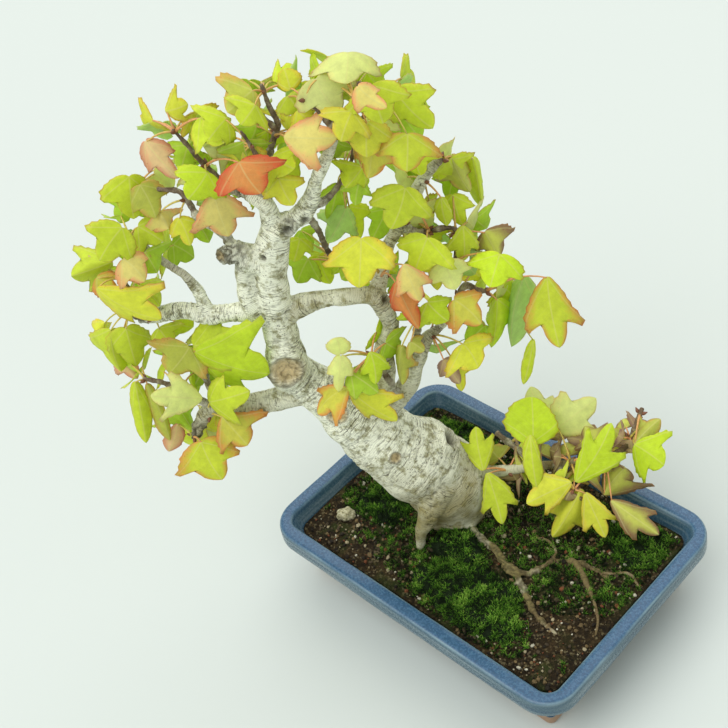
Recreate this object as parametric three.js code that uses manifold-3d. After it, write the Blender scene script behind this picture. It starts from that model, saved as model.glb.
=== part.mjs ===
// A trident maple bonsai in a shallow blue glazed pot, in millimetres, +Z up, +X along the pot's long side.
// Everything is placed from the centre of the pot's underside, and the whole is moved at the end so that
// the origin lies under the middle of its bounding box.
import * as THREE from "three";
import Module from "manifold-3d";

const wasm = await Module();
wasm.setup();
const { Manifold } = wasm;

// Pot
const POT_HEIGHT = 34;
const FOOT_HEIGHT = 4.5;
const FOOT_CENTRE = [60.5, 37.5];
const FOOT_HALF_SIDE = 8;
const FOOT_CORNER_RADIUS = 3;
const FOOT_CORNER_STEPS = 2;
const FOOT_BEVEL = 0.9;
// How far each foot's body runs up into the pot's floor.
const FOOT_IN_POT = 1.5;
const DRAIN_HOLE_RADIUS = 7;
const DRAIN_HOLE_X = 35;
const DRAIN_HOLE_SIDES = 20;
const CORNER_STEPS = 6;
const SOIL_CORNER_STEPS = 4;
// Rounded rectangles up the outside, over the rim and down the inside:
// half length, half width, corner radius, height.
const POT_PROFILE = [
  [66.5, 43.5, 8, FOOT_HEIGHT],
  [69, 46, 10, FOOT_HEIGHT + 0.8],
  [71.5, 48.5, 11, 12],
  [74.3, 51.3, 12.2, 22.6],
  [75.2, 52.2, 12.6, 23.8],
  [79.4, 56.2, 14, 24.3],
  [80.5, 57.3, 14.7, 25.5],
  [80.5, 57.3, 14.7, 32.4],
  [80.1, 56.9, 14.5, 33.5],
  [79.1, 55.9, 13.8, POT_HEIGHT],
  [75.1, 51.5, 7.4, POT_HEIGHT],
  [74.1, 50.5, 6.3, 33.4],
  [73.7, 50.1, 6, 32.4],
  [71.5, 47.9, 6, 27],
  [69.2, 45.6, 6, 21.6],
  [66.3, 42.7, 6, 10],
  [65, 41.4, 6, 9],
];

// Soil
const FIT_GAP = 0.3;
const SOIL_BOTTOM = 9 + FIT_GAP;
const SOIL_EDGE_HEIGHT = 27;
const SOIL_MOUND = { at: [-17, 0], height: 4.2, spread: 30 };
const SOIL_WAVE_HEIGHT = 0.35;
const SOIL_RINGS = [0.2, 0.42, 0.64, 0.85];
// The most that the soil stands over the edge it meets on the pot's wall.
const SOIL_OVER_EDGE = 0.4;

// Bark, leaves and moss
const LEAF_THICKNESS = 0.8;
const LEAF_STALK_RADIUS = 0.6;
const LEAF_HUB = 0.45;
const STALK_IN_BLADE = 0.6;
const BUD_LENGTH = 3;
const BUD_SIDES = 5;
// How far a limb's closed ends stand out past its first and last point, as parts of its radius there.
const LIMB_FOOT = 0.2;
const LIMB_TIP = 0.4;
// The number of sides a limb has where its largest radius is over the given one.
const LIMB_SIDES = [[9, 12], [4, 7], [2, 5], [0, 4]];
const STALK_SIDES = 3;
const SMALLEST_DETAIL = 0.1;
const BUD_WALL = 0.9;
const MOSS_CUSHIONS = {
  front: { at: [16, -30], size: [27, 15], height: 3.4 },
  right: { at: [55, 33], size: [14, 12], height: 3 },
  back: { at: [-46, 35], size: [21, 9.5], height: 3.2 },
  left: { at: [-47, -13], size: [14, 12], height: 2.8 },
  trunk: { at: [-4, -14], size: [12, 9], height: 5 },
};
// A cushion's outline and its section: part of its half size, and part of its height.
const CUSHION_SIDES = 18;
const CUSHION_DEPTH = 4;
const CUSHION_EDGE = 0.5;
const CUSHION_DOME = [[0.88, 0.72], [0.6, 0.95], [0.3, 1]];
const STONE = { at: [-58, -29], size: [4.4, 3.4, 2.8], sides: 12, turned: [8, 12, 35], lift: 1 };

const COLOURS = {
  pot: "#23468f",
  soil: "#3a2f27",
  bark: "#a39a8b",
  moss: "#3f7a24",
  stone: "#b9b2a4",
  leaf: "#b4c64a",
};

// Each limb runs through points [x, y, z, radius].
const LIMBS = {
  trunk: [
    [-19, 1, 34, 15], [-19, 1, 48, 17.5], [-24, -5, 61, 18], [-30, -11, 71, 17.5], [-40, -18, 85, 15],
    [-49, -24, 100, 11.5], [-57, -29, 112, 9], [-62, -34, 123, 8.5], [-62, -34, 136, 7.5],
    [-62, -33, 147, 7], [-61, -33, 159, 6.5], [-60, -32, 171, 6], [-58, -30, 183, 6.5],
    [-56, -27, 191, 6],
  ],
  left_fork: [
    [-57, -27, 192, 4.5], [-57, -28, 201, 3.5], [-60, -30, 206, 3], [-63, -32, 208, 2.5],
    [-66, -33, 207, 2],
  ],
  right_fork: [
    [-56, -26, 191, 5], [-51, -23, 194, 4], [-48, -19, 197, 4], [-45, -16, 204, 3],
    [-42, -15, 211, 2.5], [-39, -13, 217, 2.5], [-37, -10, 222, 2], [-35, -9, 227, 1.9],
    [-35, -9, 232, 1.6],
  ],
  apex_cut_twig: [
    [-35, -9, 232, 1.4], [-32, -6, 234, 1.1], [-28, -4, 240, 1], [-24, -2, 248, 0.9],
  ],
  apex_left_twig: [
    [-35, -9, 232, 1.2], [-37, -10, 236, 0.9], [-40, -11, 240, 0.7], [-42, -12, 242, 0.6],
  ],
  apex_right_twig: [
    [-35, -8, 231, 1.1], [-33, -1, 229, 0.8], [-31, 6, 230, 0.7], [-29, 12, 231, 0.6],
  ],
  apex_top_twig: [
    [-35, -9, 232, 1.2], [-37, -3, 235, 0.8], [-38, 0, 240, 0.6], [-38, 1, 243, 0.5],
  ],
  right_twig: [
    [-44, -15, 199, 1.6], [-43, -9, 200, 1.1], [-42, -3, 204, 0.9], [-40, 1, 210, 0.8],
    [-39, 3, 217, 0.6],
  ],
  rear_twig: [
    [-50, -17, 194, 1.5], [-53, -11, 181, 1.2], [-57, -6, 167, 1.1], [-59, -1, 155, 0.8],
  ],
  left_stub: [
    [-60, -31, 177, 6], [-64, -36, 180, 5.5], [-67, -39, 183, 5], [-69, -42, 184, 4],
    [-71, -44, 183, 2.6],
  ],
  upper_left_branch: [
    [-68, -37, 182, 2.5], [-73, -38, 187, 2], [-78, -39, 191, 1.9], [-83, -41, 194, 1.6],
    [-86, -41, 200, 1.3], [-89, -42, 205, 1.1], [-96, -46, 206, 0.9], [-106, -53, 208, 0.7],
  ],
  upper_left_twig: [
    [-64, -33, 207, 1.4], [-69, -34, 210, 1.1], [-73, -36, 216, 1], [-76, -38, 222, 0.9],
    [-78, -40, 229, 0.7], [-80, -42, 235, 0.6],
  ],
  crown_left_twig: [
    [-59, -29, 202, 1.8], [-57, -28, 211, 1.2], [-55, -28, 222, 1], [-54, -30, 230, 0.8],
    [-53, -33, 238, 0.5],
  ],
  crown_mid_twig: [
    [-57, -28, 201, 2], [-58, -25, 207, 1.6], [-59, -22, 215, 1.4], [-57, -19, 223, 1.2],
    [-55, -16, 230, 1.1], [-56, -17, 239, 0.9], [-56, -18, 247, 0.6],
  ],
  crown_mid_side_twig: [
    [-55, -17, 229, 1], [-55, -20, 234, 0.9], [-56, -23, 241, 0.6],
  ],
  second_stem: [
    [-67, -38, 181, 3], [-68, -38, 171, 4], [-68, -39, 161, 4.5], [-65, -37, 151, 5],
  ],
  left_branch: [
    [-63, -35, 152, 5.5], [-68, -39, 154, 4.5], [-73, -43, 154, 4], [-81, -50, 154, 4],
    [-89, -55, 156, 3.5], [-95, -60, 156, 3.5], [-102, -64, 154, 3], [-106, -67, 153, 2],
    [-108, -68, 157, 1.2],
  ],
  left_shoot: [
    [-82, -51, 156, 3], [-84, -50, 163, 2.5], [-88, -51, 171, 1.9], [-92, -53, 175, 1.6],
    [-97, -55, 179, 1.6], [-101, -57, 183, 1.9], [-103, -58, 187, 1.8], [-106, -60, 190, 0.9],
  ],
  left_tip_twig: [
    [-104, -65.5, 153, 1.6], [-104, -66, 156, 1.3], [-104, -67, 163, 1], [-105, -67, 169, 0.8],
    [-105, -68, 175, 0.6],
  ],
  low_branch: [
    [-57, -29, 111, 7.5], [-62, -37, 110, 5.5], [-68, -45, 109, 5], [-72, -52, 111, 4.5],
    [-77, -58, 114, 3.5], [-80, -64, 114, 3], [-82, -68, 111, 3], [-84, -71, 105, 2.5],
    [-85, -74, 103, 1.8],
  ],
  low_left_twig: [
    [-80, -63, 114, 2], [-83, -67, 121, 1.6], [-88, -71, 127, 1.3], [-92, -75, 132, 1],
    [-97, -79, 134, 0.8],
  ],
  low_rear_twig: [
    [-78, -58, 113, 2], [-84, -59, 119, 1.6], [-86, -59, 129, 1.3], [-88, -59, 139, 0.9],
  ],
  arch: [
    [-61, -32, 149, 6], [-56, -27, 153, 5], [-51, -23, 155, 4], [-47, -18, 155, 3.5],
    [-41, -12, 155, 3.5], [-35, -7, 154, 3.5], [-32, -5, 148, 4], [-31, -4, 138, 3.5],
    [-33, -8, 129, 3.5], [-34, -9, 117, 5], [-37, -13, 106, 6], [-40, -17, 96, 6.5],
  ],
  second_trunk: [
    [-38, -15, 93, 6], [-33, -8, 98, 4.5], [-30, -2, 104, 4.5], [-28, 1, 112, 4], [-26, 5, 121, 3.5],
    [-24, 8, 126, 2.5], [-20, 12, 131, 1.7], [-16, 18, 140, 1.4], [-14, 22, 147, 1.4],
    [-10, 26, 144, 1], [-8, 29, 142, 0.7],
  ],
  second_trunk_twig: [
    [-26, 5, 121, 2.5], [-24, 3, 130, 1.8], [-21, 1, 139, 1.3], [-18, 1, 147, 0.8],
  ],
  rear_branch: [
    [-35, -6, 151, 3.5], [-36, 1, 160, 3], [-36, 7, 168, 2.5], [-34, 14, 176, 2.5],
    [-32, 20, 184, 2.5], [-29, 24, 191, 2.5], [-27, 29, 195, 2], [-25, 32, 197, 1.4],
  ],
  rear_side_twig: [
    [-35, 13, 174, 1.9], [-28, 19, 170, 1.1], [-22, 24, 171, 1], [-19, 27, 169, 0.9],
    [-18, 25, 163, 1], [-17, 22, 157, 0.7],
  ],
  gap_twig: [
    [-31, -7, 101, 2], [-30, -12, 117, 1.2], [-28, -16, 129, 0.9], [-27, -20, 137, 0.7],
  ],
  low_right_branch: [
    [-19, 5, 50, 5.5], [-8, 10, 54, 3.5], [1, 17, 54, 2.5], [12, 26, 56, 2], [24, 34, 58, 1.9],
    [34, 42, 60, 1.6], [38, 52, 62, 1.3], [38, 63, 74, 1],
  ],
  low_right_stub: [
    [9, 23, 55, 1.9], [0, 26, 58, 1.5], [-11, 26, 62, 1.1],
  ],
  low_right_twig: [
    [18, 29, 57, 1.7], [24, 26, 56, 1.3], [31, 24, 55, 0.9],
  ],
  side_root: [
    [-13, -9, 61, 8], [-14, -15, 53, 6.5], [-15, -19, 45, 4.2], [-16.5, -22, 38, 2.6],
    [-18, -23.5, 28, 1.8],
  ],
  trunk_foot: [
    [-19, 1, 12, 9], [-19, 1, 20, 12], [-19, 1, 28, 14], [-19, 1, 36, 15.3], [-19, 1, 42, 15],
  ],
  left_root: [
    [-24, -3, 27, 7], [-38, -8, 22, 5], [-50, -14, 17, 3], [-58, -20, 14, 1.5],
  ],
  rear_root: [
    [-22, 6, 27, 7], [-30, 20, 21, 5], [-38, 32, 16, 2],
  ],
  right_root: [
    [-10, 6, 27, 6], [4, 14, 21, 4], [18, 22, 16, 2],
  ],
};

// Roots that lie on the soil and grow from the trunk: points [x, y, radius, lift of the axis over it].
const SURFACE_ROOTS = {
  main: [
    [-14, -3, 4, 1], [-4, -5, 2.5, 0.8], [3, -5, 2, 0.7], [11, -6, 1.9, 0.7], [19, -9, 2.1, 0.8],
    [28, -12, 1.8, 0.6], [39, -19, 1.6, 0.5], [48, -22, 1.2, 0.3], [56, -23, 0.7, -0.6],
  ],
  main_fork: [
    [17, -8, 1.5, 0.5], [25, -8, 1.5, 0.6], [29, -6, 1.5, 0.7], [31, 0, 1.3, 0.7], [32, 7, 1, 0.3],
  ],
  right: [
    [31.5, 4, 1, 0], [35, 8, 0.9, -0.6], [40, 10, 1.4, 0.5], [46, 7, 1.3, 0.7], [52, 3, 1.1, 0.6],
    [58, -1, 0.8, -0.2],
  ],
  right_fork: [
    [40, 10, 1.3, 0.5], [47, 12, 1.3, 0.7], [52, 12, 1.1, 0.6], [57, 11, 0.8, 0],
  ],
  fine_inner: [
    [31.5, 6, 0.8, 0.2], [30, 10, 0.7, 0.4], [25, 12, 0.7, 0.6], [21, 11, 0.7, 0.5], [19, 8, 0.6, -0.6],
  ],
  fine_outer: [
    [52, 12, 0.8, 0.3], [56, 15, 0.6, 0.2], [60, 18, 0.6, 0.5], [64, 18, 0.6, 0.5], [69, 15, 0.5, -0.3],
  ],
  fine_front: [
    [57, -0.5, 0.7, 0], [60, -3, 0.6, 0.5], [65, -8, 0.6, 0.5], [68, -14, 0.5, -0.3],
  ],
};

// Leaves by the twig they grow on, at the place given. Each leaf has the way from there to its base,
// the way from base to tip, the span seen from the front, and its form.
const SPRAYS = {
  apex_top: { at: [-39, 1, 243], leaves: [
    [[4, 4, 10], [6, -8, -6], 27, "wide"],
    [[-4, 6, 1], [4, -1, -10], 20, "lobed"],
  ] },
  apex_left: { at: [-42, -12, 242], leaves: [
    [[2, 5, 6], [7, -1, -12], 22, "wide"],
    [[-5, -1, 3], [-2, 1, 7], 9, "round"],
    [[-4, -1, -5], [6, 2, -6], 16, "lobed"],
    [[-10, 1, -2], [4, 0, -5], 14, "round"],
  ] },
  apex_cut: { at: [-27, -4, 243], leaves: [
    [[7, 3, 5], [5, -2, -12], 24, "wide"],
    [[11, -6, 11], [8, 2, -8], 13, "lobed"],
    [[1, -2, -4], [1, -9, -6], 20, "lobed"],
    [[4, 1, -9], [1, -5, -11], 24, "wide"],
  ] },
  apex_right: { at: [-29, 12, 231], leaves: [
    [[4, 2, 5], [9, 4, -16], 22, "lobed"],
    [[-1, 6, -6], [6, 3, -13], 20, "lobed"],
    [[14, -5, -5], [4, -7, -10], 25, "wide"],
    [[4, -13, -9], [0, -4, -11], 20, "folded"],
    [[0, 10, -24], [1, -1, -12], 18, "lobed"],
  ] },
  crown_top: { at: [-56, -18, 244], leaves: [
    [[0, -4, 3], [-2, -11, -3], 22, "wide"],
    [[5, -8, 1], [-1, -7, -4], 20, "lobed"],
    [[-7, 11, -5], [6, 6, 5], 16, "lobed"],
  ] },
  crown_mid: { at: [-56, -17, 226], leaves: [
    [[11, -5, 6], [15, 10, -3], 22, "trident"],
    [[-7, -2, 3], [-1, -6, -7], 18, "lobed"],
    [[-3, 8, -4], [2, 5, 5], 16, "lobed"],
  ] },
  crown_front: { at: [-54, -30, 230], leaves: [
    [[-7, -2, 10], [-1, -9, -3], 22, "wide"],
    [[-10, -1, 1], [-3, -9, -1], 24, "folded"],
  ] },
  crown_low: { at: [-58, -23, 213], leaves: [
    [[8, -2, 11], [8, 1, -4], 20, "wide"],
    [[11, -4, 4], [4, -1, -10], 19, "lobed"],
    [[-9, -1, -2], [-2, -7, -1], 18, "lobed"],
  ] },
  shoulder_tip: { at: [-80, -42, 234], leaves: [
    [[-3, 1, 7], [6, 6, 1], 14, "trident"],
    [[10, 6, 6], [10, 1, -7], 20, "wide"],
    [[-5, -9, 0], [11, 1, -13], 14, "lobed"],
  ] },
  shoulder_mid: { at: [-74, -37, 219], leaves: [
    [[-9, 1, 5], [-1, -6, -8], 20, "lobed"],
    [[21, 0, 9], [8, -2, -10], 26, "wide"],
    [[9, -6, 4], [-2, -9, -7], 22, "wide"],
  ] },
  shoulder_low: { at: [-69, -34, 209], leaves: [
    [[4, -9, 6], [4, -3, -17], 24, "trident"],
    [[-5, 6, -2], [4, 1, -6], 16, "lobed"],
  ] },
  upper_left_tip: { at: [-102, -51, 207], leaves: [
    [[-1, -1, 6], [2, -6, -15], 22, "wide"],
    [[3, 0, 3], [6, 0, -12], 20, "wide"],
    [[-11, 1, -8], [-3, -6, -10], 18, "lobed"],
  ] },
  upper_left_mid: { at: [-87, -41, 202], leaves: [
    [[-1, -5, -6], [5, -1, -10], 13, "lobed"],
    [[-7, -9, -3], [4, 0, -6], 20, "folded"],
    [[-3, 8, -1], [3, 4, 8], 16, "lobed"],
    [[1, 1, -13], [3, 1, -7], 20, "folded"],
  ] },
  shoot_tip: { at: [-105, -59, 189], leaves: [
    [[10, -7, 13], [-4, -12, -8], 22, "wide"],
    [[3, 3, 4], [8, 4, -6], 18, "wide"],
    [[-5, -8, -9], [-7, -15, 0], 24, "folded"],
    [[-11, 0, -4], [5, 1, -12], 20, "lobed"],
  ] },
  shoot_mid: { at: [-98, -56, 179], leaves: [
    [[6, -6, 10], [3, 0, -9], 24, "folded"],
    [[3, -14, 11], [9, 2, -7], 18, "wide"],
  ] },
  left_twig_tip: { at: [-105, -68, 174], leaves: [
    [[-4, -8, 5], [6, 3, -7], 14, "lobed"],
    [[5, 3, -2], [7, 3, -9], 20, "folded"],
    [[1, -12, 5], [16, 11, -18], 24, "leaning"],
  ] },
  left_tip: { at: [-108, -68, 158], leaves: [
    [[-5, -9, -7], [1, -5, -19], 26, "folded"],
    [[-14, -6, -10], [-2, -6, -8], 17, "folded"],
    [[0, -5, -7], [1, -3, -18], 22, "wide"],
    [[-8, -8, -23], [6, 2, -11], 17, "folded"],
  ] },
  left_end: { at: [-100, -63, 152], leaves: [
    [[-1, 0, -5], [5, 0, -7], 16, "lobed"],
  ] },
  low_rear: { at: [-88, -59, 137], leaves: [
    [[2, 0, 5], [20, 12, 5], 25, "wide"],
    [[5, -2, 5], [23, 16, -12], 33, "leaning"],
    [[0, -1, 4], [1, -12, -5], 27, "wide"],
    [[-2, 4, -11], [-2, -7, -8], 18, "lobed"],
  ] },
  low_left_tip: { at: [-97, -78, 134], leaves: [
    [[-2, -4, 0], [1, -6, -30], 10, "narrow"],
    [[-1, 0, -4], [3, 0, -31], 8, "narrow"],
  ] },
  low_left_mid: { at: [-87, -70, 126], leaves: [
    [[10, 2, -1], [-8, -16, 12], 20, "trident"],
    [[-9, 0, -13], [4, 0, -14], 20, "folded"],
  ] },
  low_mid: { at: [-81, -66, 113], leaves: [
    [[3, 1, 7], [16, 10, 7], 22, "lobed"],
    [[9, 1, 2], [9, 2, -13], 26, "trident"],
    [[-9, 10, -2], [4, 6, 9], 18, "lobed"],
  ] },
  low_end: { at: [-85, -74, 104], leaves: [
    [[8, -1, 2], [8, -3, -16], 28, "wide"],
    [[-10, 1, 0], [-2, -7, -12], 9, "narrow"],
    [[-14, 7, -21], [0, 0, 16], 12, "lobed"],
  ] },
  gap: { at: [-27, -20, 136], leaves: [
    [[-4, -11, 8], [0, 1, 8], 10, "round"],
    [[-4, -11, 7], [0, -5, -15], 11, "lobed"],
    [[4, -3, 7], [3, -1, -14], 14, "trident"],
    [[-3, -9, -3], [9, 4, -9], 16, "wide"],
    [[-3, -12, -9], [-6, -13, -5], 18, "leaning"],
    [[-3, -11, -11], [12, 8, -18], 16, "leaning"],
  ] },
  rear_low: { at: [-36, -1, 159], leaves: [
    [[7, -10, 28], [4, -8, -16], 27, "wide"],
    [[22, -5, 19], [5, -1, -15], 16, "trident"],
    [[19, -8, 11], [6, 1, -21], 17, "folded"],
    [[-9, 2, 2], [-5, -9, -5], 18, "lobed"],
  ] },
  side_mid: { at: [-27, 21, 170], leaves: [
    [[10, -11, 8], [-1, -8, -11], 24, "wide"],
    [[6, -6, -4], [2, -3, -16], 14, "lobed"],
    [[5, -13, 30], [0, -8, -14], 24, "wide"],
  ] },
  side_low: { at: [-17, 23, 158], leaves: [
    [[4, -10, 8], [5, -2, -10], 19, "wide"],
    [[22, 1, 12], [1, -8, -10], 25, "wide"],
  ] },
  side_tip: { at: [-19, 27, 168], leaves: [
    [[4, 0, 5], [2, -3, -14], 15, "trident"],
    [[-4, 5, 13], [3, -1, -13], 15, "lobed"],
    [[8, 7, -1], [6, 1, -11], 20, "folded"],
  ] },
  rear_tip: { at: [-25, 32, 196], leaves: [
    [[1, 3, 1], [6, -1, -15], 20, "folded"],
    [[2, 13, -6], [3, -1, -21], 19, "folded"],
    [[-8, 13, -17], [-2, -5, -10], 16, "lobed"],
  ] },
  rear_upper: { at: [-29, 24, 191], leaves: [
    [[7, 1, -6], [1, -2, -12], 7, "narrow"],
    [[-3, 4, -14], [0, -2, -6], 12, "lobed"],
  ] },
  rear_mid: { at: [-34, 14, 176], leaves: [
    [[-10, 3, 0], [-3, -8, -11], 20, "lobed"],
  ] },
  second_mid: { at: [-15, 19, 143], leaves: [
    [[7, -9, 9], [10, 4, -9], 20, "wide"],
    [[1, 12, -23], [-5, -8, -7], 18, "lobed"],
  ] },
  second_front: { at: [-19, 1, 147], leaves: [
    [[6, 0, 8], [7, 1, -8], 20, "wide"],
    [[-1, -6, -11], [5, 2, -4], 12, "lobed"],
    [[-3, -9, -12], [0, -6, -16], 15, "folded"],
  ] },
  second_tip: { at: [-8, 28, 143], leaves: [
    [[4, 1, -3], [0, -4, -23], 19, "folded"],
    [[9, 12, 3], [-4, -9, -32], 24, "folded"],
    [[19, 14, 6], [10, -11, -24], 25, "trident"],
    [[8, 15, -33], [2, -11, -16], 6, "narrow"],
  ] },
  second_low: { at: [-22, 9, 127], leaves: [
    [[13, 3, 0], [8, 0, -8], 26, "wide"],
    [[7, 2, -11], [3, 0, -16], 12, "lobed"],
    [[8, -4, -6], [5, 2, -12], 13, "lobed"],
  ] },
  right_twig: { at: [-39, 2, 216], leaves: [
    [[8, -4, -4], [-3, -7, -6], 17, "folded"],
    [[2, -2, -14], [-1, -4, -8], 12, "lobed"],
  ] },
  right_twig_low: { at: [-41, -2, 204], leaves: [
    [[-11, 7, -22], [5, -1, -13], 18, "lobed"],
    [[-5, 1, -16], [-3, -9, -13], 17, "folded"],
    [[-12, 5, -11], [-2, -7, -14], 12, "lobed"],
  ] },
  rear_twig: { at: [-59, -1, 156], leaves: [
    [[-4, -12, 18], [0, -5, -8], 16, "lobed"],
    [[-6, -9, 5], [-2, -7, -8], 18, "wide"],
    [[-7, -3, 2], [3, -1, -13], 18, "wide"],
    [[-13, -4, 13], [4, 1, -7], 14, "lobed"],
  ] },
  low_right_base: { at: [1, 18, 54], leaves: [
    [[-3, -12, 8], [-11, 8, 13], 17, "trident"],
    [[-1, -12, 8], [12, -6, -19], 18, "trident"],
  ] },
  low_right_near: { at: [11, 25, 56], leaves: [
    [[-1, 0, 14], [-9, 13, 11], 23, "round"],
    [[0, -2, 21], [8, -10, -19], 9, "narrow"],
    [[-7, 17, 9], [-13, 4, 9], 22, "lobed"],
  ] },
  low_right_mid: { at: [23, 33, 58], leaves: [
    [[-12, 7, 8], [9, 16, 10], 22, "wide"],
    [[10, -10, 4], [7, 20, 20], 20, "trident"],
    [[-13, 11, -3], [-7, 4, 11], 17, "lobed"],
  ] },
  low_right_twig: { at: [31, 24, 55], leaves: [
    [[-1, 0, 4], [-11, -17, -4], 20, "trident"],
    [[2, 2, 0], [-1, -17, -17], 23, "folded"],
    [[4, 2, -1], [13, -4, -16], 15, "trident"],
  ] },
  low_right_far: { at: [34, 42, 60], leaves: [
    [[-10, 7, -2], [-9, -8, 4], 17, "lobed"],
    [[11, -12, -8], [21, 2, -11], 17, "trident"],
    [[6, -10, -10], [3, 10, 11], 24, "folded"],
  ] },
  low_right_tip: { at: [39, 61, 73], leaves: [
    [[4, -11, -6], [14, 2, -4], 28, "trident"],
    [[4, -11, -6], [2, 15, 4], 9, "narrow"],
  ] },
  low_right_end: { at: [38, 54, 64], leaves: [
    [[0, 0, -8], [-8, 1, 9], 17, "lobed"],
  ] },
};

// How far a leaf's halves are bent back along its midrib and how far it is rolled about it, in degrees.
const LEAF_FORMS = {
  wide: { fold: 10, roll: 0, widen: 1, outline: [[0, 0.45], [0.42, 1], [0.6, 0.35], [0.85, 0.3]] },
  trident: { fold: 14, roll: 0, widen: 1, outline: [[0.1, 0.5], [0.72, 1], [0.68, 0.42], [0.85, 0.34]] },
  lobed: { fold: 14, roll: 0, widen: 1, outline: [[0, 0.45], [0.4, 1], [0.56, 0.45], [0.88, 0.36]] },
  round: { fold: 6, roll: 0, widen: 1, outline: [[0.05, 0.7], [0.45, 1], [0.85, 0.7]] },
  narrow: { fold: 20, roll: 0, widen: 1, outline: [[0.3, 0.9], [0.65, 1]] },
  folded: { fold: 55, roll: 0, widen: 1.7, outline: [[0.1, 0.5], [0.72, 1], [0.68, 0.42], [0.85, 0.34]] },
  leaning: { fold: 10, roll: 50, widen: 1.5, outline: [[0.1, 0.5], [0.72, 1], [0.68, 0.42], [0.85, 0.34]] },
};
// Every leaf turns its upper face to the light, which comes from the front of the tree and above.
const LIGHT = new THREE.Vector3(260, -246, 469);

const vector = (p) => new THREE.Vector3(p[0], p[1], p[2]);

// A closed solid of points [x, y, z] and triangles, turned face out.
function solidOf(points, triangles) {
  let volume = 0;
  for (const [a, b, c] of triangles) {
    volume += vector(points[a]).dot(vector(points[b]).cross(vector(points[c])));
  }
  const faces = volume < 0 ? triangles.map(([a, b, c]) => [a, c, b]) : triangles;
  const mesh = new wasm.Mesh({
    numProp: 3,
    vertProperties: new Float32Array(points.flat()),
    triVerts: new Uint32Array(faces.flat()),
  });
  return new Manifold(mesh);
}

// A solid through rings of the same number of points, closed by a fan at each end.
function loft(rings, firstCentre, lastCentre) {
  const count = rings[0].length;
  const points = rings.flat();
  const triangles = [];
  for (let ring = 0; ring + 1 < rings.length; ring += 1) {
    for (let side = 0; side < count; side += 1) {
      const next = (side + 1) % count;
      const here = ring * count;
      const above = here + count;
      triangles.push([here + side, here + next, above + next]);
      triangles.push([here + side, above + next, above + side]);
    }
  }
  const first = points.push(firstCentre) - 1;
  const last = points.push(lastCentre) - 1;
  const end = (rings.length - 1) * count;
  for (let side = 0; side < count; side += 1) {
    const next = (side + 1) % count;
    triangles.push([first, next, side]);
    triangles.push([last, end + side, end + next]);
  }
  return solidOf(points, triangles);
}

// A rounded rectangle as points, level at z.
function roundedRectangle([halfLength, halfWidth, radius, z], steps = CORNER_STEPS, at = [0, 0]) {
  const points = [];
  for (const [sx, sy, from] of [[1, 1, 0], [-1, 1, 90], [-1, -1, 180], [1, -1, 270]]) {
    for (let step = 0; step <= steps; step += 1) {
      const angle = THREE.MathUtils.degToRad(from + (90 * step) / steps);
      const x = at[0] + sx * (halfLength - radius) + radius * Math.cos(angle);
      const y = at[1] + sy * (halfWidth - radius) + radius * Math.sin(angle);
      points.push([x, y, z]);
    }
  }
  return points;
}

// A tapered round limb through points [x, y, z, radius], grown all round by margin.
function limb(path, sides, margin = 0) {
  const places = path.map(vector);
  const directions = places.map((place, i) => {
    const before = places[Math.max(0, i - 1)];
    const after = places[Math.min(places.length - 1, i + 1)];
    return after.clone().sub(before).normalize();
  });
  let across = new THREE.Vector3(0.3, 1, 0.1).cross(directions[0]).normalize();
  const rings = [];
  for (let i = 0; i < places.length; i += 1) {
    const along = directions[i];
    across = across.clone().addScaledVector(along, -across.dot(along)).normalize();
    const up = along.clone().cross(across);
    const radius = path[i][3] + margin;
    const ring = [];
    for (let side = 0; side < sides; side += 1) {
      const angle = (2 * Math.PI * side) / sides;
      const point = places[i].clone();
      point.addScaledVector(across, radius * Math.cos(angle));
      point.addScaledVector(up, radius * Math.sin(angle));
      ring.push(point.toArray());
    }
    rings.push(ring);
  }
  const foot = places[0].clone().addScaledVector(directions[0], -margin - LIMB_FOOT * path[0][3]);
  const last = path.length - 1;
  const tip = places[last].clone().addScaledVector(directions[last], margin + LIMB_TIP * path[last][3]);
  return loft(rings, foot.toArray(), tip.toArray());
}

// The pot: a swept wall and floor with four feet and two drain holes.
function potSolid() {
  const rings = POT_PROFILE.map((row) => roundedRectangle(row));
  const floorTop = POT_PROFILE[POT_PROFILE.length - 1][3];
  const footTop = FOOT_HEIGHT + FOOT_IN_POT;
  let pot = loft(rings, [0, 0, FOOT_HEIGHT], [0, 0, floorTop]);
  for (const sx of [-1, 1]) {
    for (const sy of [-1, 1]) {
      const at = [sx * FOOT_CENTRE[0], sy * FOOT_CENTRE[1]];
      const sole = FOOT_HALF_SIDE - FOOT_BEVEL;
      const foot = [[sole, 0], [FOOT_HALF_SIDE, FOOT_BEVEL], [FOOT_HALF_SIDE, footTop]].map(([half, z]) => {
        return roundedRectangle([half, half, FOOT_CORNER_RADIUS, z], FOOT_CORNER_STEPS, at);
      });
      pot = pot.add(loft(foot, [...at, 0], [...at, footTop]));
    }
    const hole = Manifold.cylinder(POT_HEIGHT, DRAIN_HOLE_RADIUS, DRAIN_HOLE_RADIUS, DRAIN_HOLE_SIDES);
    pot = pot.subtract(hole.translate([sx * DRAIN_HOLE_X, 0, 0]));
  }
  return pot;
}

function soilHeight(x, y) {
  const away = Math.hypot(x - SOIL_MOUND.at[0], y - SOIL_MOUND.at[1]) / SOIL_MOUND.spread;
  const waves = Math.sin(x / 9) * Math.cos(y / 7) + Math.sin((x + y) / 13);
  return SOIL_EDGE_HEIGHT + SOIL_MOUND.height * Math.exp(-away * away) + SOIL_WAVE_HEIGHT * waves;
}

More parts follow.
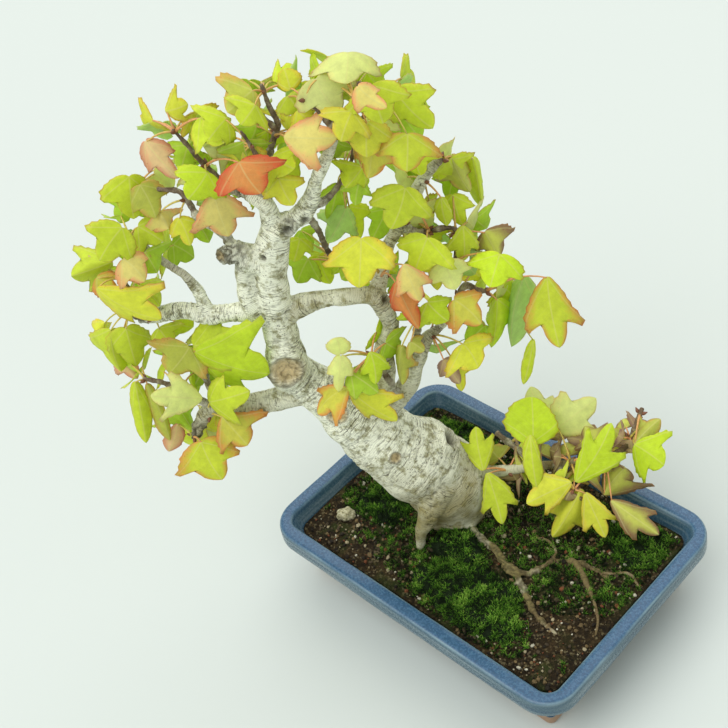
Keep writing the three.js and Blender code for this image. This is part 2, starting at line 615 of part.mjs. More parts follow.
// The soil: it follows the pot's inside with a small gap and ends in a gently uneven top, raised by lift.
function soilBlock(lift = 0) {
  const wall = POT_PROFILE.slice(-3).reverse();
  wall[0] = [wall[0][0], wall[0][1], wall[0][2], SOIL_BOTTOM];
  const rings = wall.map(([length, width, radius, z]) => {
    return roundedRectangle([length - FIT_GAP, width - FIT_GAP, radius, z], SOIL_CORNER_STEPS);
  });
  const edge = POT_PROFILE[POT_PROFILE.length - 4];
  const rim = roundedRectangle([edge[0] - FIT_GAP, edge[1] - FIT_GAP, edge[2], 0], SOIL_CORNER_STEPS);
  rings.push(rim.map(([x, y]) => [x, y, Math.min(soilHeight(x, y), edge[3] + SOIL_OVER_EDGE) + lift]));
  for (const part of [...SOIL_RINGS].reverse()) {
    rings.push(rim.map(([x, y]) => [x * part, y * part, soilHeight(x * part, y * part) + lift]));
  }
  return loft(rings, [0, 0, SOIL_BOTTOM], [0, 0, soilHeight(0, 0) + lift]);
}

// A low cushion with a wavy outline, before the soil under it is taken away.
function cushion({ at, size, height }) {
  const rings = [];
  const edge = [[1, -CUSHION_DEPTH], [1, CUSHION_EDGE]];
  const dome = CUSHION_DOME.map(([part, rise]) => [part, rise * height]);
  for (const [part, rise] of [...edge, ...dome]) {
    const ring = [];
    for (let side = 0; side < CUSHION_SIDES; side += 1) {
      const angle = (2 * Math.PI * side) / CUSHION_SIDES;
      const wobble = 1 + 0.08 * Math.sin(3 * angle + at[0]) + 0.05 * Math.cos(5 * angle + at[1]);
      const x = at[0] + size[0] * part * wobble * Math.cos(angle);
      const y = at[1] + size[1] * part * wobble * Math.sin(angle);
      ring.push([x, y, soilHeight(x, y) + rise]);
    }
    rings.push(ring);
  }
  const [x, y] = at;
  return loft(rings, [x, y, soilHeight(x, y) - CUSHION_DEPTH], [x, y, soilHeight(x, y) + height]);
}

// A root that lies on the soil: points [x, y, radius, lift of its axis over the soil].
function surfaceRoot(path) {
  return path.map(([x, y, radius, lift]) => [x, y, soilHeight(x, y) + lift, radius]);
}

// The number of sides a limb is drawn with.
function sidesOf(path) {
  const thickest = Math.max(...path.map((point) => point[3]));
  return LIMB_SIDES.find(([radius]) => thickest > radius)[1];
}

function woodSolid(margin = 0) {
  const paths = [...Object.values(LIMBS), ...Object.values(SURFACE_ROOTS).map(surfaceRoot)];
  return Manifold.union(paths.map((path) => limb(path, sidesOf(path), margin)));
}

// The point of the wood's axes nearest to a place, with the wood's radius and direction there.
function nearestOnWood(place) {
  let best = null;
  let least = Infinity;
  for (const path of Object.values(LIMBS)) {
    for (let i = 0; i + 1 < path.length; i += 1) {
      const from = vector(path[i]);
      const line = vector(path[i + 1]).sub(from);
      const t = THREE.MathUtils.clamp(place.clone().sub(from).dot(line) / line.lengthSq(), 0, 1);
      const point = from.clone().addScaledVector(line, t);
      if (point.distanceTo(place) < least) {
        least = point.distanceTo(place);
        const radius = THREE.MathUtils.lerp(path[i][3], path[i + 1][3], t);
        best = { point, radius, along: line.normalize() };
      }
    }
  }
  return best;
}

// One leaf blade from base to tip, its two halves bent back from the midrib.
function blade(base, tip, span, formName, margin = 0) {
  const form = LEAF_FORMS[formName];
  const length = tip.distanceTo(base);
  const along = tip.clone().sub(base).normalize();
  const toLight = LIGHT.clone().sub(base.clone().add(tip).multiplyScalar(0.5));
  const square = toLight.addScaledVector(along, -toLight.dot(along)).normalize();
  const out = square.applyAxisAngle(along, THREE.MathUtils.degToRad(form.roll));
  const side = out.clone().cross(along);
  const fold = THREE.MathUtils.degToRad(form.fold);
  const half = (span * form.widen) / 2;
  const thick = LEAF_THICKNESS / 2 / Math.cos(fold);
  const place = (u, v, level) => {
    const point = base.clone().addScaledVector(along, u * length + 2 * margin * (u - 0.5));
    const reach = v * half + Math.sign(v) * margin;
    point.addScaledVector(side, reach * Math.cos(fold));
    point.addScaledVector(out, level - Math.abs(reach) * Math.sin(fold));
    return point.toArray();
  };
  const rim = [[0, 0], ...form.outline, [1, 0], ...form.outline.map(([u, v]) => [u, -v]).reverse()];
  const count = rim.length;
  const triangles = [];
  if (margin === 0) {
    const points = rim.map(([u, v]) => place(u, v, 0));
    points.push(place(LEAF_HUB, 0, thick), place(LEAF_HUB, 0, -thick));
    for (let i = 0; i < count; i += 1) {
      const next = (i + 1) % count;
      triangles.push([count, i, next]);
      triangles.push([count + 1, next, i]);
    }
    return solidOf(points, triangles);
  }
  const grown = thick + margin / Math.cos(fold);
  const points = [...rim.map(([u, v]) => place(u, v, grown)), ...rim.map(([u, v]) => place(u, v, -grown))];
  for (let i = 0; i < count; i += 1) {
    const next = (i + 1) % count;
    triangles.push([next, i, i + count]);
    triangles.push([next, i + count, next + count]);
  }
  for (let i = 1; i + 1 < count; i += 1) {
    triangles.push([0, i, i + 1]);
    triangles.push([count, i + 1 + count, i + count]);
  }
  return solidOf(points, triangles);
}

// What carries a spray's leaves: a bud ring round the twig and the leaf stalks.
function carrierSolid({ at, leaves }, margin = 0) {
  const twig = nearestOnWood(vector(at));
  const budRadius = (twig.radius + FIT_GAP + BUD_WALL) / Math.cos(Math.PI / BUD_SIDES);
  const budEnds = [-0.5, 0.5].map((part) => {
    return twig.point.clone().addScaledVector(twig.along, part * (BUD_LENGTH + 2 * margin));
  });
  const parts = [limb(budEnds.map((end) => [...end.toArray(), budRadius]), BUD_SIDES, margin)];
  for (const [stalk, reach] of leaves) {
    const base = vector(at).add(vector(stalk));
    const tip = base.clone().add(vector(reach));
    const inBlade = base.clone().lerp(tip, STALK_IN_BLADE / base.distanceTo(tip));
    const ends = [twig.point, inBlade];
    parts.push(limb(ends.map((end) => [...end.toArray(), LEAF_STALK_RADIUS]), STALK_SIDES, margin));
  }
  return Manifold.union(parts);
}

function bladesSolid({ at, leaves }, margin = 0) {
  return Manifold.union(leaves.map(([stalk, reach, span, formName]) => {
    const base = vector(at).add(vector(stalk));
    return blade(base, base.clone().add(vector(reach)), span, formName, margin);
  }));
}

// The largest body of a solid. What else a cut has left is a splinter.
function largestBody(solid) {
  const bodies = solid.decompose();
  bodies.sort((a, b) => b.volume() - a.volume());
  return bodies[0];
}

function boxesMeet(a, b) {
  return [0, 1, 2].every((axis) => a.min[axis] <= b.max[axis] && b.min[axis] <= a.max[axis]);
}

function cutWhereTheyMeet(solid, cutter) {
  return boxesMeet(solid.boundingBox(), cutter.boundingBox()) ? solid.subtract(cutter) : solid;
}

const group = new THREE.Group();

function addNode(name, solid, colour, roughness) {
  const { vertProperties, triVerts } = solid.simplify(SMALLEST_DETAIL).getMesh();
  const geometry = new THREE.BufferGeometry();
  geometry.setAttribute("position", new THREE.BufferAttribute(new Float32Array(vertProperties), 3));
  geometry.setIndex(new THREE.BufferAttribute(new Uint32Array(triVerts), 1));
  const flat = geometry.toNonIndexed();
  flat.computeVertexNormals();
  const material = new THREE.MeshStandardMaterial({ color: colour, roughness, metalness: 0 });
  const mesh = new THREE.Mesh(flat, material);
  mesh.name = name;
  group.add(mesh);
}

const wood = woodSolid();
const woodWithGap = woodSolid(FIT_GAP);
addNode("pot", potSolid(), COLOURS.pot, 0.25);
addNode("soil", largestBody(soilBlock().subtract(woodWithGap)), COLOURS.soil, 0.95);
addNode("trunk_and_branches", wood, COLOURS.bark, 0.85);

// Each cushion gives way to the soil, the wood and the cushions before it.
const underCushions = soilBlock(FIT_GAP).add(woodWithGap);
let roundCushion = underCushions;
for (const [name, { at, size, height }] of Object.entries(MOSS_CUSHIONS)) {
  const moss = cushion({ at, size, height }).subtract(roundCushion);
  addNode(`moss_${name}`, largestBody(moss), COLOURS.moss, 0.95);
  const grown = size.map((half) => half + 2 * FIT_GAP);
  roundCushion = roundCushion.add(cushion({ at, size: grown, height: height + 2 * FIT_GAP }));
}
const [stoneX, stoneY] = STONE.at;
const stone = Manifold.sphere(1, STONE.sides).scale(STONE.size).rotate(STONE.turned);
const stoneOnSoil = stone.translate([stoneX, stoneY, soilHeight(stoneX, stoneY) + STONE.lift]);
addNode("stone", largestBody(stoneOnSoil.subtract(underCushions)), COLOURS.stone, 0.8);

// Where leaves of two sprays would touch, the later blade gives way, and every blade gives way to a stalk.
const sprays = Object.entries(SPRAYS);
const carriers = sprays.map(([, spray]) => carrierSolid(spray, FIT_GAP));
const blades = sprays.map(([, spray]) => bladesSolid(spray, FIT_GAP));
sprays.forEach(([name, spray], here) => {
  let carrier = carrierSolid(spray);
  let leaves = bladesSolid(spray);
  for (let there = 0; there < sprays.length; there += 1) {
    if (there === here) continue;
    leaves = cutWhereTheyMeet(leaves, carriers[there]);
    if (there < here) {
      carrier = cutWhereTheyMeet(carrier, carriers[there]);
      leaves = cutWhereTheyMeet(leaves, blades[there]);
    }
  }
  const solid = carrier.add(leaves).subtract(woodWithGap);
  addNode(`leaves_${name}`, largestBody(solid), COLOURS.leaf, 0.6);
});

const middle = new THREE.Box3().setFromObject(group).getCenter(new THREE.Vector3());
group.position.set(-middle.x, -middle.y, 0);

export default group;
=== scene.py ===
# A trident maple bonsai in a shallow blue glazed pot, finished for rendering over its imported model.
import math
import random
from functools import partial

import bmesh
import bpy
import numpy as np
from bpy.props import FloatProperty, FloatVectorProperty, IntProperty, PointerProperty
from mathutils import Matrix, Vector, noise


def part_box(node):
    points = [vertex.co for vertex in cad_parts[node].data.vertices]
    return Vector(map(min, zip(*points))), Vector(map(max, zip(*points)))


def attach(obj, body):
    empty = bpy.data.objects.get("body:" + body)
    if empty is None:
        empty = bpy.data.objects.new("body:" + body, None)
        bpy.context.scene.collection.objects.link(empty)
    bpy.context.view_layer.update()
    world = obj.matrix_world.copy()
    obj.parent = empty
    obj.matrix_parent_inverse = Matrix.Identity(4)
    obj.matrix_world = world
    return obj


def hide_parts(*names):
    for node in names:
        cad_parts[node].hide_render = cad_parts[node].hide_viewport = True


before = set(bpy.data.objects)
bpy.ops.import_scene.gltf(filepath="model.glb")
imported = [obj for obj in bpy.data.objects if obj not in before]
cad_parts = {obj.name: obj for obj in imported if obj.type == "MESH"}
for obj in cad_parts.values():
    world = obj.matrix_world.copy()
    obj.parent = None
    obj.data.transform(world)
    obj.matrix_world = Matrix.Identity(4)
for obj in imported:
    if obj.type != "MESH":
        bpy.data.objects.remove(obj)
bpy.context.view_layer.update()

bl_info = {
    "name": "Maple bonsai",
    "version": (1, 0, 0),
    "blender": (4, 5, 0),
    "location": "View3D > Sidebar > Maple",
    "description": "Builds a trident maple bonsai, its moss, soil and glazed pot",
    "category": "Add Mesh",
}

MM = 0.001
pot_low, pot_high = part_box("pot")
# The middle of the pot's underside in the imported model, in millimetres.
POT_MIDDLE = np.array([(pot_low.x + pot_high.x) / 2, (pot_low.y + pot_high.y) / 2, 0]) / MM

# The photograph's camera: its place in millimetres from the same middle, its right, up and back, its lens.
CAMERA_PLACE = (260.08, -246.47, 469.25)
CAMERA_AXES = ((0.7161, 0.6785, -0.1638), (-0.3853, 0.5800, 0.7178), (0.5820, -0.4509, 0.6768))
CAMERA_LENS = 63.73

# Distance between the points of a limb once it is smoothed.
PATH_STEP = 0.7
# Thin limbs have a swollen node this far apart, where a pair of leaves once grew.
NODE_SPACING = 6.3
# Limbs and roots of a smaller radius than these stay tubes, because a remesh would eat them.
THIN_LIMB = 1.35
THIN_ROOT = 0.85
# How many points at a time look for their nearest limb.
BATCH = 4000
# Saw cuts of a greater radius than this have a flat face and folds of bark beside them.
BIG_CUT = 6
# Each limb runs through points (x, y, z, radius) in millimetres, from the middle of the pot's underside.
LIMBS = {
    "trunk": ((-19, 1, 34, 15), (-19, 1, 48, 17.5), (-24, -5, 61, 18), (-30, -11, 71, 17.5),
        (-40, -18, 85, 15), (-49, -24, 100, 11.5), (-57, -29, 112, 9), (-62, -34, 123, 8.5),
        (-62, -34, 136, 7.5), (-62, -33, 147, 7), (-61, -33, 159, 6.5), (-60, -32, 171, 6),
        (-58, -30, 183, 6.5), (-56, -27, 191, 6)),
    "left_fork": ((-57, -27, 192, 4.5), (-57, -28, 201, 3.5), (-60, -30, 206, 3), (-63, -32, 208, 2.5),
        (-66, -33, 207, 2)),
    "right_fork": ((-56, -26, 191, 5), (-51, -23, 194, 4), (-48, -19, 197, 4), (-45, -16, 204, 3),
        (-42, -15, 211, 2.5), (-39, -13, 217, 2.5), (-37, -10, 222, 2), (-35, -9, 227, 1.9),
        (-35, -9, 232, 1.6)),
    "apex_cut_twig": ((-35, -9, 232, 1.4), (-32, -6, 234, 1.1), (-28, -4, 240, 1), (-24, -2, 248, 0.9)),
    "apex_left_twig": ((-35, -9, 232, 1.2), (-37, -10, 236, 0.9), (-40, -11, 240, 0.7),
        (-42, -12, 242, 0.6)),
    "apex_right_twig": ((-35, -8, 231, 1.1), (-33, -1, 229, 0.8), (-31, 6, 230, 0.7), (-29, 12, 231, 0.6)),
    "apex_top_twig": ((-35, -9, 232, 1.2), (-37, -3, 235, 0.8), (-38, 0, 240, 0.6), (-38, 1, 243, 0.5)),
    "right_twig": ((-44, -15, 199, 1.6), (-43, -9, 200, 1.1), (-42, -3, 204, 0.9), (-40, 1, 210, 0.8),
        (-39, 3, 217, 0.6)),
    "rear_twig": ((-50, -17, 194, 1.5), (-53, -11, 181, 1.2), (-57, -6, 167, 1.1), (-59, -1, 155, 0.8)),
    "left_stub": ((-60, -31, 177, 6), (-64, -36, 180, 5.5), (-67, -39, 183, 5), (-69, -42, 184, 4),
        (-71, -44, 183, 2.6)),
    "upper_left_branch": ((-68, -37, 182, 2.5), (-73, -38, 187, 2), (-78, -39, 191, 1.9),
        (-83, -41, 194, 1.6), (-86, -41, 200, 1.3), (-89, -42, 205, 1.1), (-96, -46, 206, 0.9),
        (-106, -53, 208, 0.7)),
    "upper_left_twig": ((-64, -33, 207, 1.4), (-69, -34, 210, 1.1), (-73, -36, 216, 1),
        (-76, -38, 222, 0.9), (-78, -40, 229, 0.7), (-80, -42, 235, 0.6)),
    "crown_left_twig": ((-59, -29, 202, 1.8), (-57, -28, 211, 1.2), (-55, -28, 222, 1),
        (-54, -30, 230, 0.8), (-53, -33, 238, 0.5)),
    "crown_mid_twig": ((-57, -28, 201, 2), (-58, -25, 207, 1.6), (-59, -22, 215, 1.4), (-57, -19, 223, 1.2),
        (-55, -16, 230, 1.1), (-56, -17, 239, 0.9), (-56, -18, 247, 0.6)),
    "crown_mid_side_twig": ((-55, -17, 229, 1), (-55, -20, 234, 0.9), (-56, -23, 241, 0.6)),
    "second_stem": ((-67, -38, 181, 3), (-68, -38, 171, 4), (-68, -39, 161, 4.5), (-65, -37, 151, 5)),
    "left_branch": ((-63, -35, 152, 5.5), (-68, -39, 154, 4.5), (-73, -43, 154, 4), (-81, -50, 154, 4),
        (-89, -55, 156, 3.5), (-95, -60, 156, 3.5), (-102, -64, 154, 3), (-106, -67, 153, 2),
        (-108, -68, 157, 1.2)),
    "left_shoot": ((-82, -51, 156, 3), (-84, -50, 163, 2.5), (-88, -51, 171, 1.9), (-92, -53, 175, 1.6),
        (-97, -55, 179, 1.6), (-101, -57, 183, 1.9), (-103, -58, 187, 1.8), (-106, -60, 190, 0.9)),
    "left_tip_twig": ((-104, -65.5, 153, 1.6), (-104, -66, 156, 1.3), (-104, -67, 163, 1),
        (-105, -67, 169, 0.8), (-105, -68, 175, 0.6)),
    "low_branch": ((-57, -29, 111, 7.5), (-62, -37, 110, 5.5), (-68, -45, 109, 5), (-72, -52, 111, 4.5),
        (-77, -58, 114, 3.5), (-80, -64, 114, 3), (-82, -68, 111, 3), (-84, -71, 105, 2.5),
        (-85, -74, 103, 1.8)),
    "low_left_twig": ((-80, -63, 114, 2), (-83, -67, 121, 1.6), (-88, -71, 127, 1.3), (-92, -75, 132, 1),
        (-97, -79, 134, 0.8)),
    "low_rear_twig": ((-78, -58, 113, 2), (-84, -59, 119, 1.6), (-86, -59, 129, 1.3), (-88, -59, 139, 0.9)),
    "arch": ((-61, -32, 149, 6), (-56, -27, 153, 5), (-51, -23, 155, 4), (-47, -18, 155, 3.5),
        (-41, -12, 155, 3.5), (-35, -7, 154, 3.5), (-32, -5, 148, 4), (-31, -4, 138, 3.5),
        (-33, -8, 129, 3.5), (-34, -9, 117, 5), (-37, -13, 106, 6), (-40, -17, 96, 6.5)),
    "second_trunk": ((-38, -15, 93, 6), (-33, -8, 98, 4.5), (-30, -2, 104, 4.5), (-28, 1, 112, 4),
        (-26, 5, 121, 3.5), (-24, 8, 126, 2.5), (-20, 12, 131, 1.7), (-16, 18, 140, 1.4),
        (-14, 22, 147, 1.4), (-10, 26, 144, 1), (-8, 29, 142, 0.7)),
    "second_trunk_twig": ((-26, 5, 121, 2.5), (-24, 3, 130, 1.8), (-21, 1, 139, 1.3), (-18, 1, 147, 0.8)),
    "rear_branch": ((-35, -6, 151, 3.5), (-36, 1, 160, 3), (-36, 7, 168, 2.5), (-34, 14, 176, 2.5),
        (-32, 20, 184, 2.5), (-29, 24, 191, 2.5), (-27, 29, 195, 2), (-25, 32, 197, 1.4)),
    "rear_side_twig": ((-35, 13, 174, 1.9), (-28, 19, 170, 1.1), (-22, 24, 171, 1), (-19, 27, 169, 0.9),
        (-18, 25, 163, 1), (-17, 22, 157, 0.7)),
    "gap_twig": ((-31, -7, 101, 2), (-30, -12, 117, 1.2), (-28, -16, 129, 0.9), (-27, -20, 137, 0.7)),
    "low_right_branch": ((-19, 5, 50, 5.5), (-8, 10, 54, 3.5), (1, 17, 54, 2.5), (12, 26, 56, 2),
        (24, 34, 58, 1.9), (34, 42, 60, 1.6), (38, 52, 62, 1.3), (38, 63, 74, 1)),
    "low_right_stub": ((9, 23, 55, 1.9), (0, 26, 58, 1.5), (-11, 26, 62, 1.1)),
    "low_right_twig": ((18, 29, 57, 1.7), (24, 26, 56, 1.3), (31, 24, 55, 0.9)),
    "side_root": ((-13, -9, 61, 8), (-14, -15, 53, 6.5), (-15, -19, 45, 4.2), (-16.5, -22, 38, 2.6),
        (-18, -23.5, 28, 1.8)),
    "trunk_foot": ((-19, 1, 12, 9), (-19, 1, 20, 12), (-19, 1, 28, 14), (-19, 1, 36, 15.3),
        (-19, 1, 42, 15)),
    "left_root": ((-24, -3, 27, 7), (-38, -8, 22, 5), (-50, -14, 17, 3), (-58, -20, 14, 1.5)),
    "rear_root": ((-22, 6, 27, 7), (-30, 20, 21, 5), (-38, 32, 16, 2)),
    "right_root": ((-10, 6, 27, 6), (4, 14, 21, 4), (18, 22, 16, 2)),
}
# Roots on the soil: points (x, y, radius, lift of the axis over the soil).
SURFACE_ROOTS = {
    "main": ((-14, -3, 4, 1), (-4, -5, 2.5, 0.8), (3, -5, 2, 0.7), (11, -6, 1.9, 0.7), (19, -9, 2.1, 0.8),
        (28, -12, 1.8, 0.6), (39, -19, 1.6, 0.5), (48, -22, 1.2, 0.3), (56, -23, 0.7, -0.6)),
    "main_fork": ((17, -8, 1.5, 0.5), (25, -8, 1.5, 0.6), (29, -6, 1.5, 0.7), (31, 0, 1.3, 0.7),
        (32, 7, 1, 0.3)),
    "right": ((31.5, 4, 1, 0), (35, 8, 0.9, -0.6), (40, 10, 1.4, 0.5), (46, 7, 1.3, 0.7), (52, 3, 1.1, 0.6),
        (58, -1, 0.8, -0.2)),
    "right_fork": ((40, 10, 1.3, 0.5), (47, 12, 1.3, 0.7), (52, 12, 1.1, 0.6), (57, 11, 0.8, 0)),
    "fine_inner": ((31.5, 6, 0.8, 0.2), (30, 10, 0.7, 0.4), (25, 12, 0.7, 0.6), (21, 11, 0.7, 0.5),
        (19, 8, 0.6, -0.6)),
    "fine_outer": ((52, 12, 0.8, 0.3), (56, 15, 0.6, 0.2), (60, 18, 0.6, 0.5), (64, 18, 0.6, 0.5),
        (69, 15, 0.5, -0.3)),
    "fine_front": ((57, -0.5, 0.7, 0), (60, -3, 0.6, 0.5), (65, -8, 0.6, 0.5), (68, -14, 0.5, -0.3)),
}
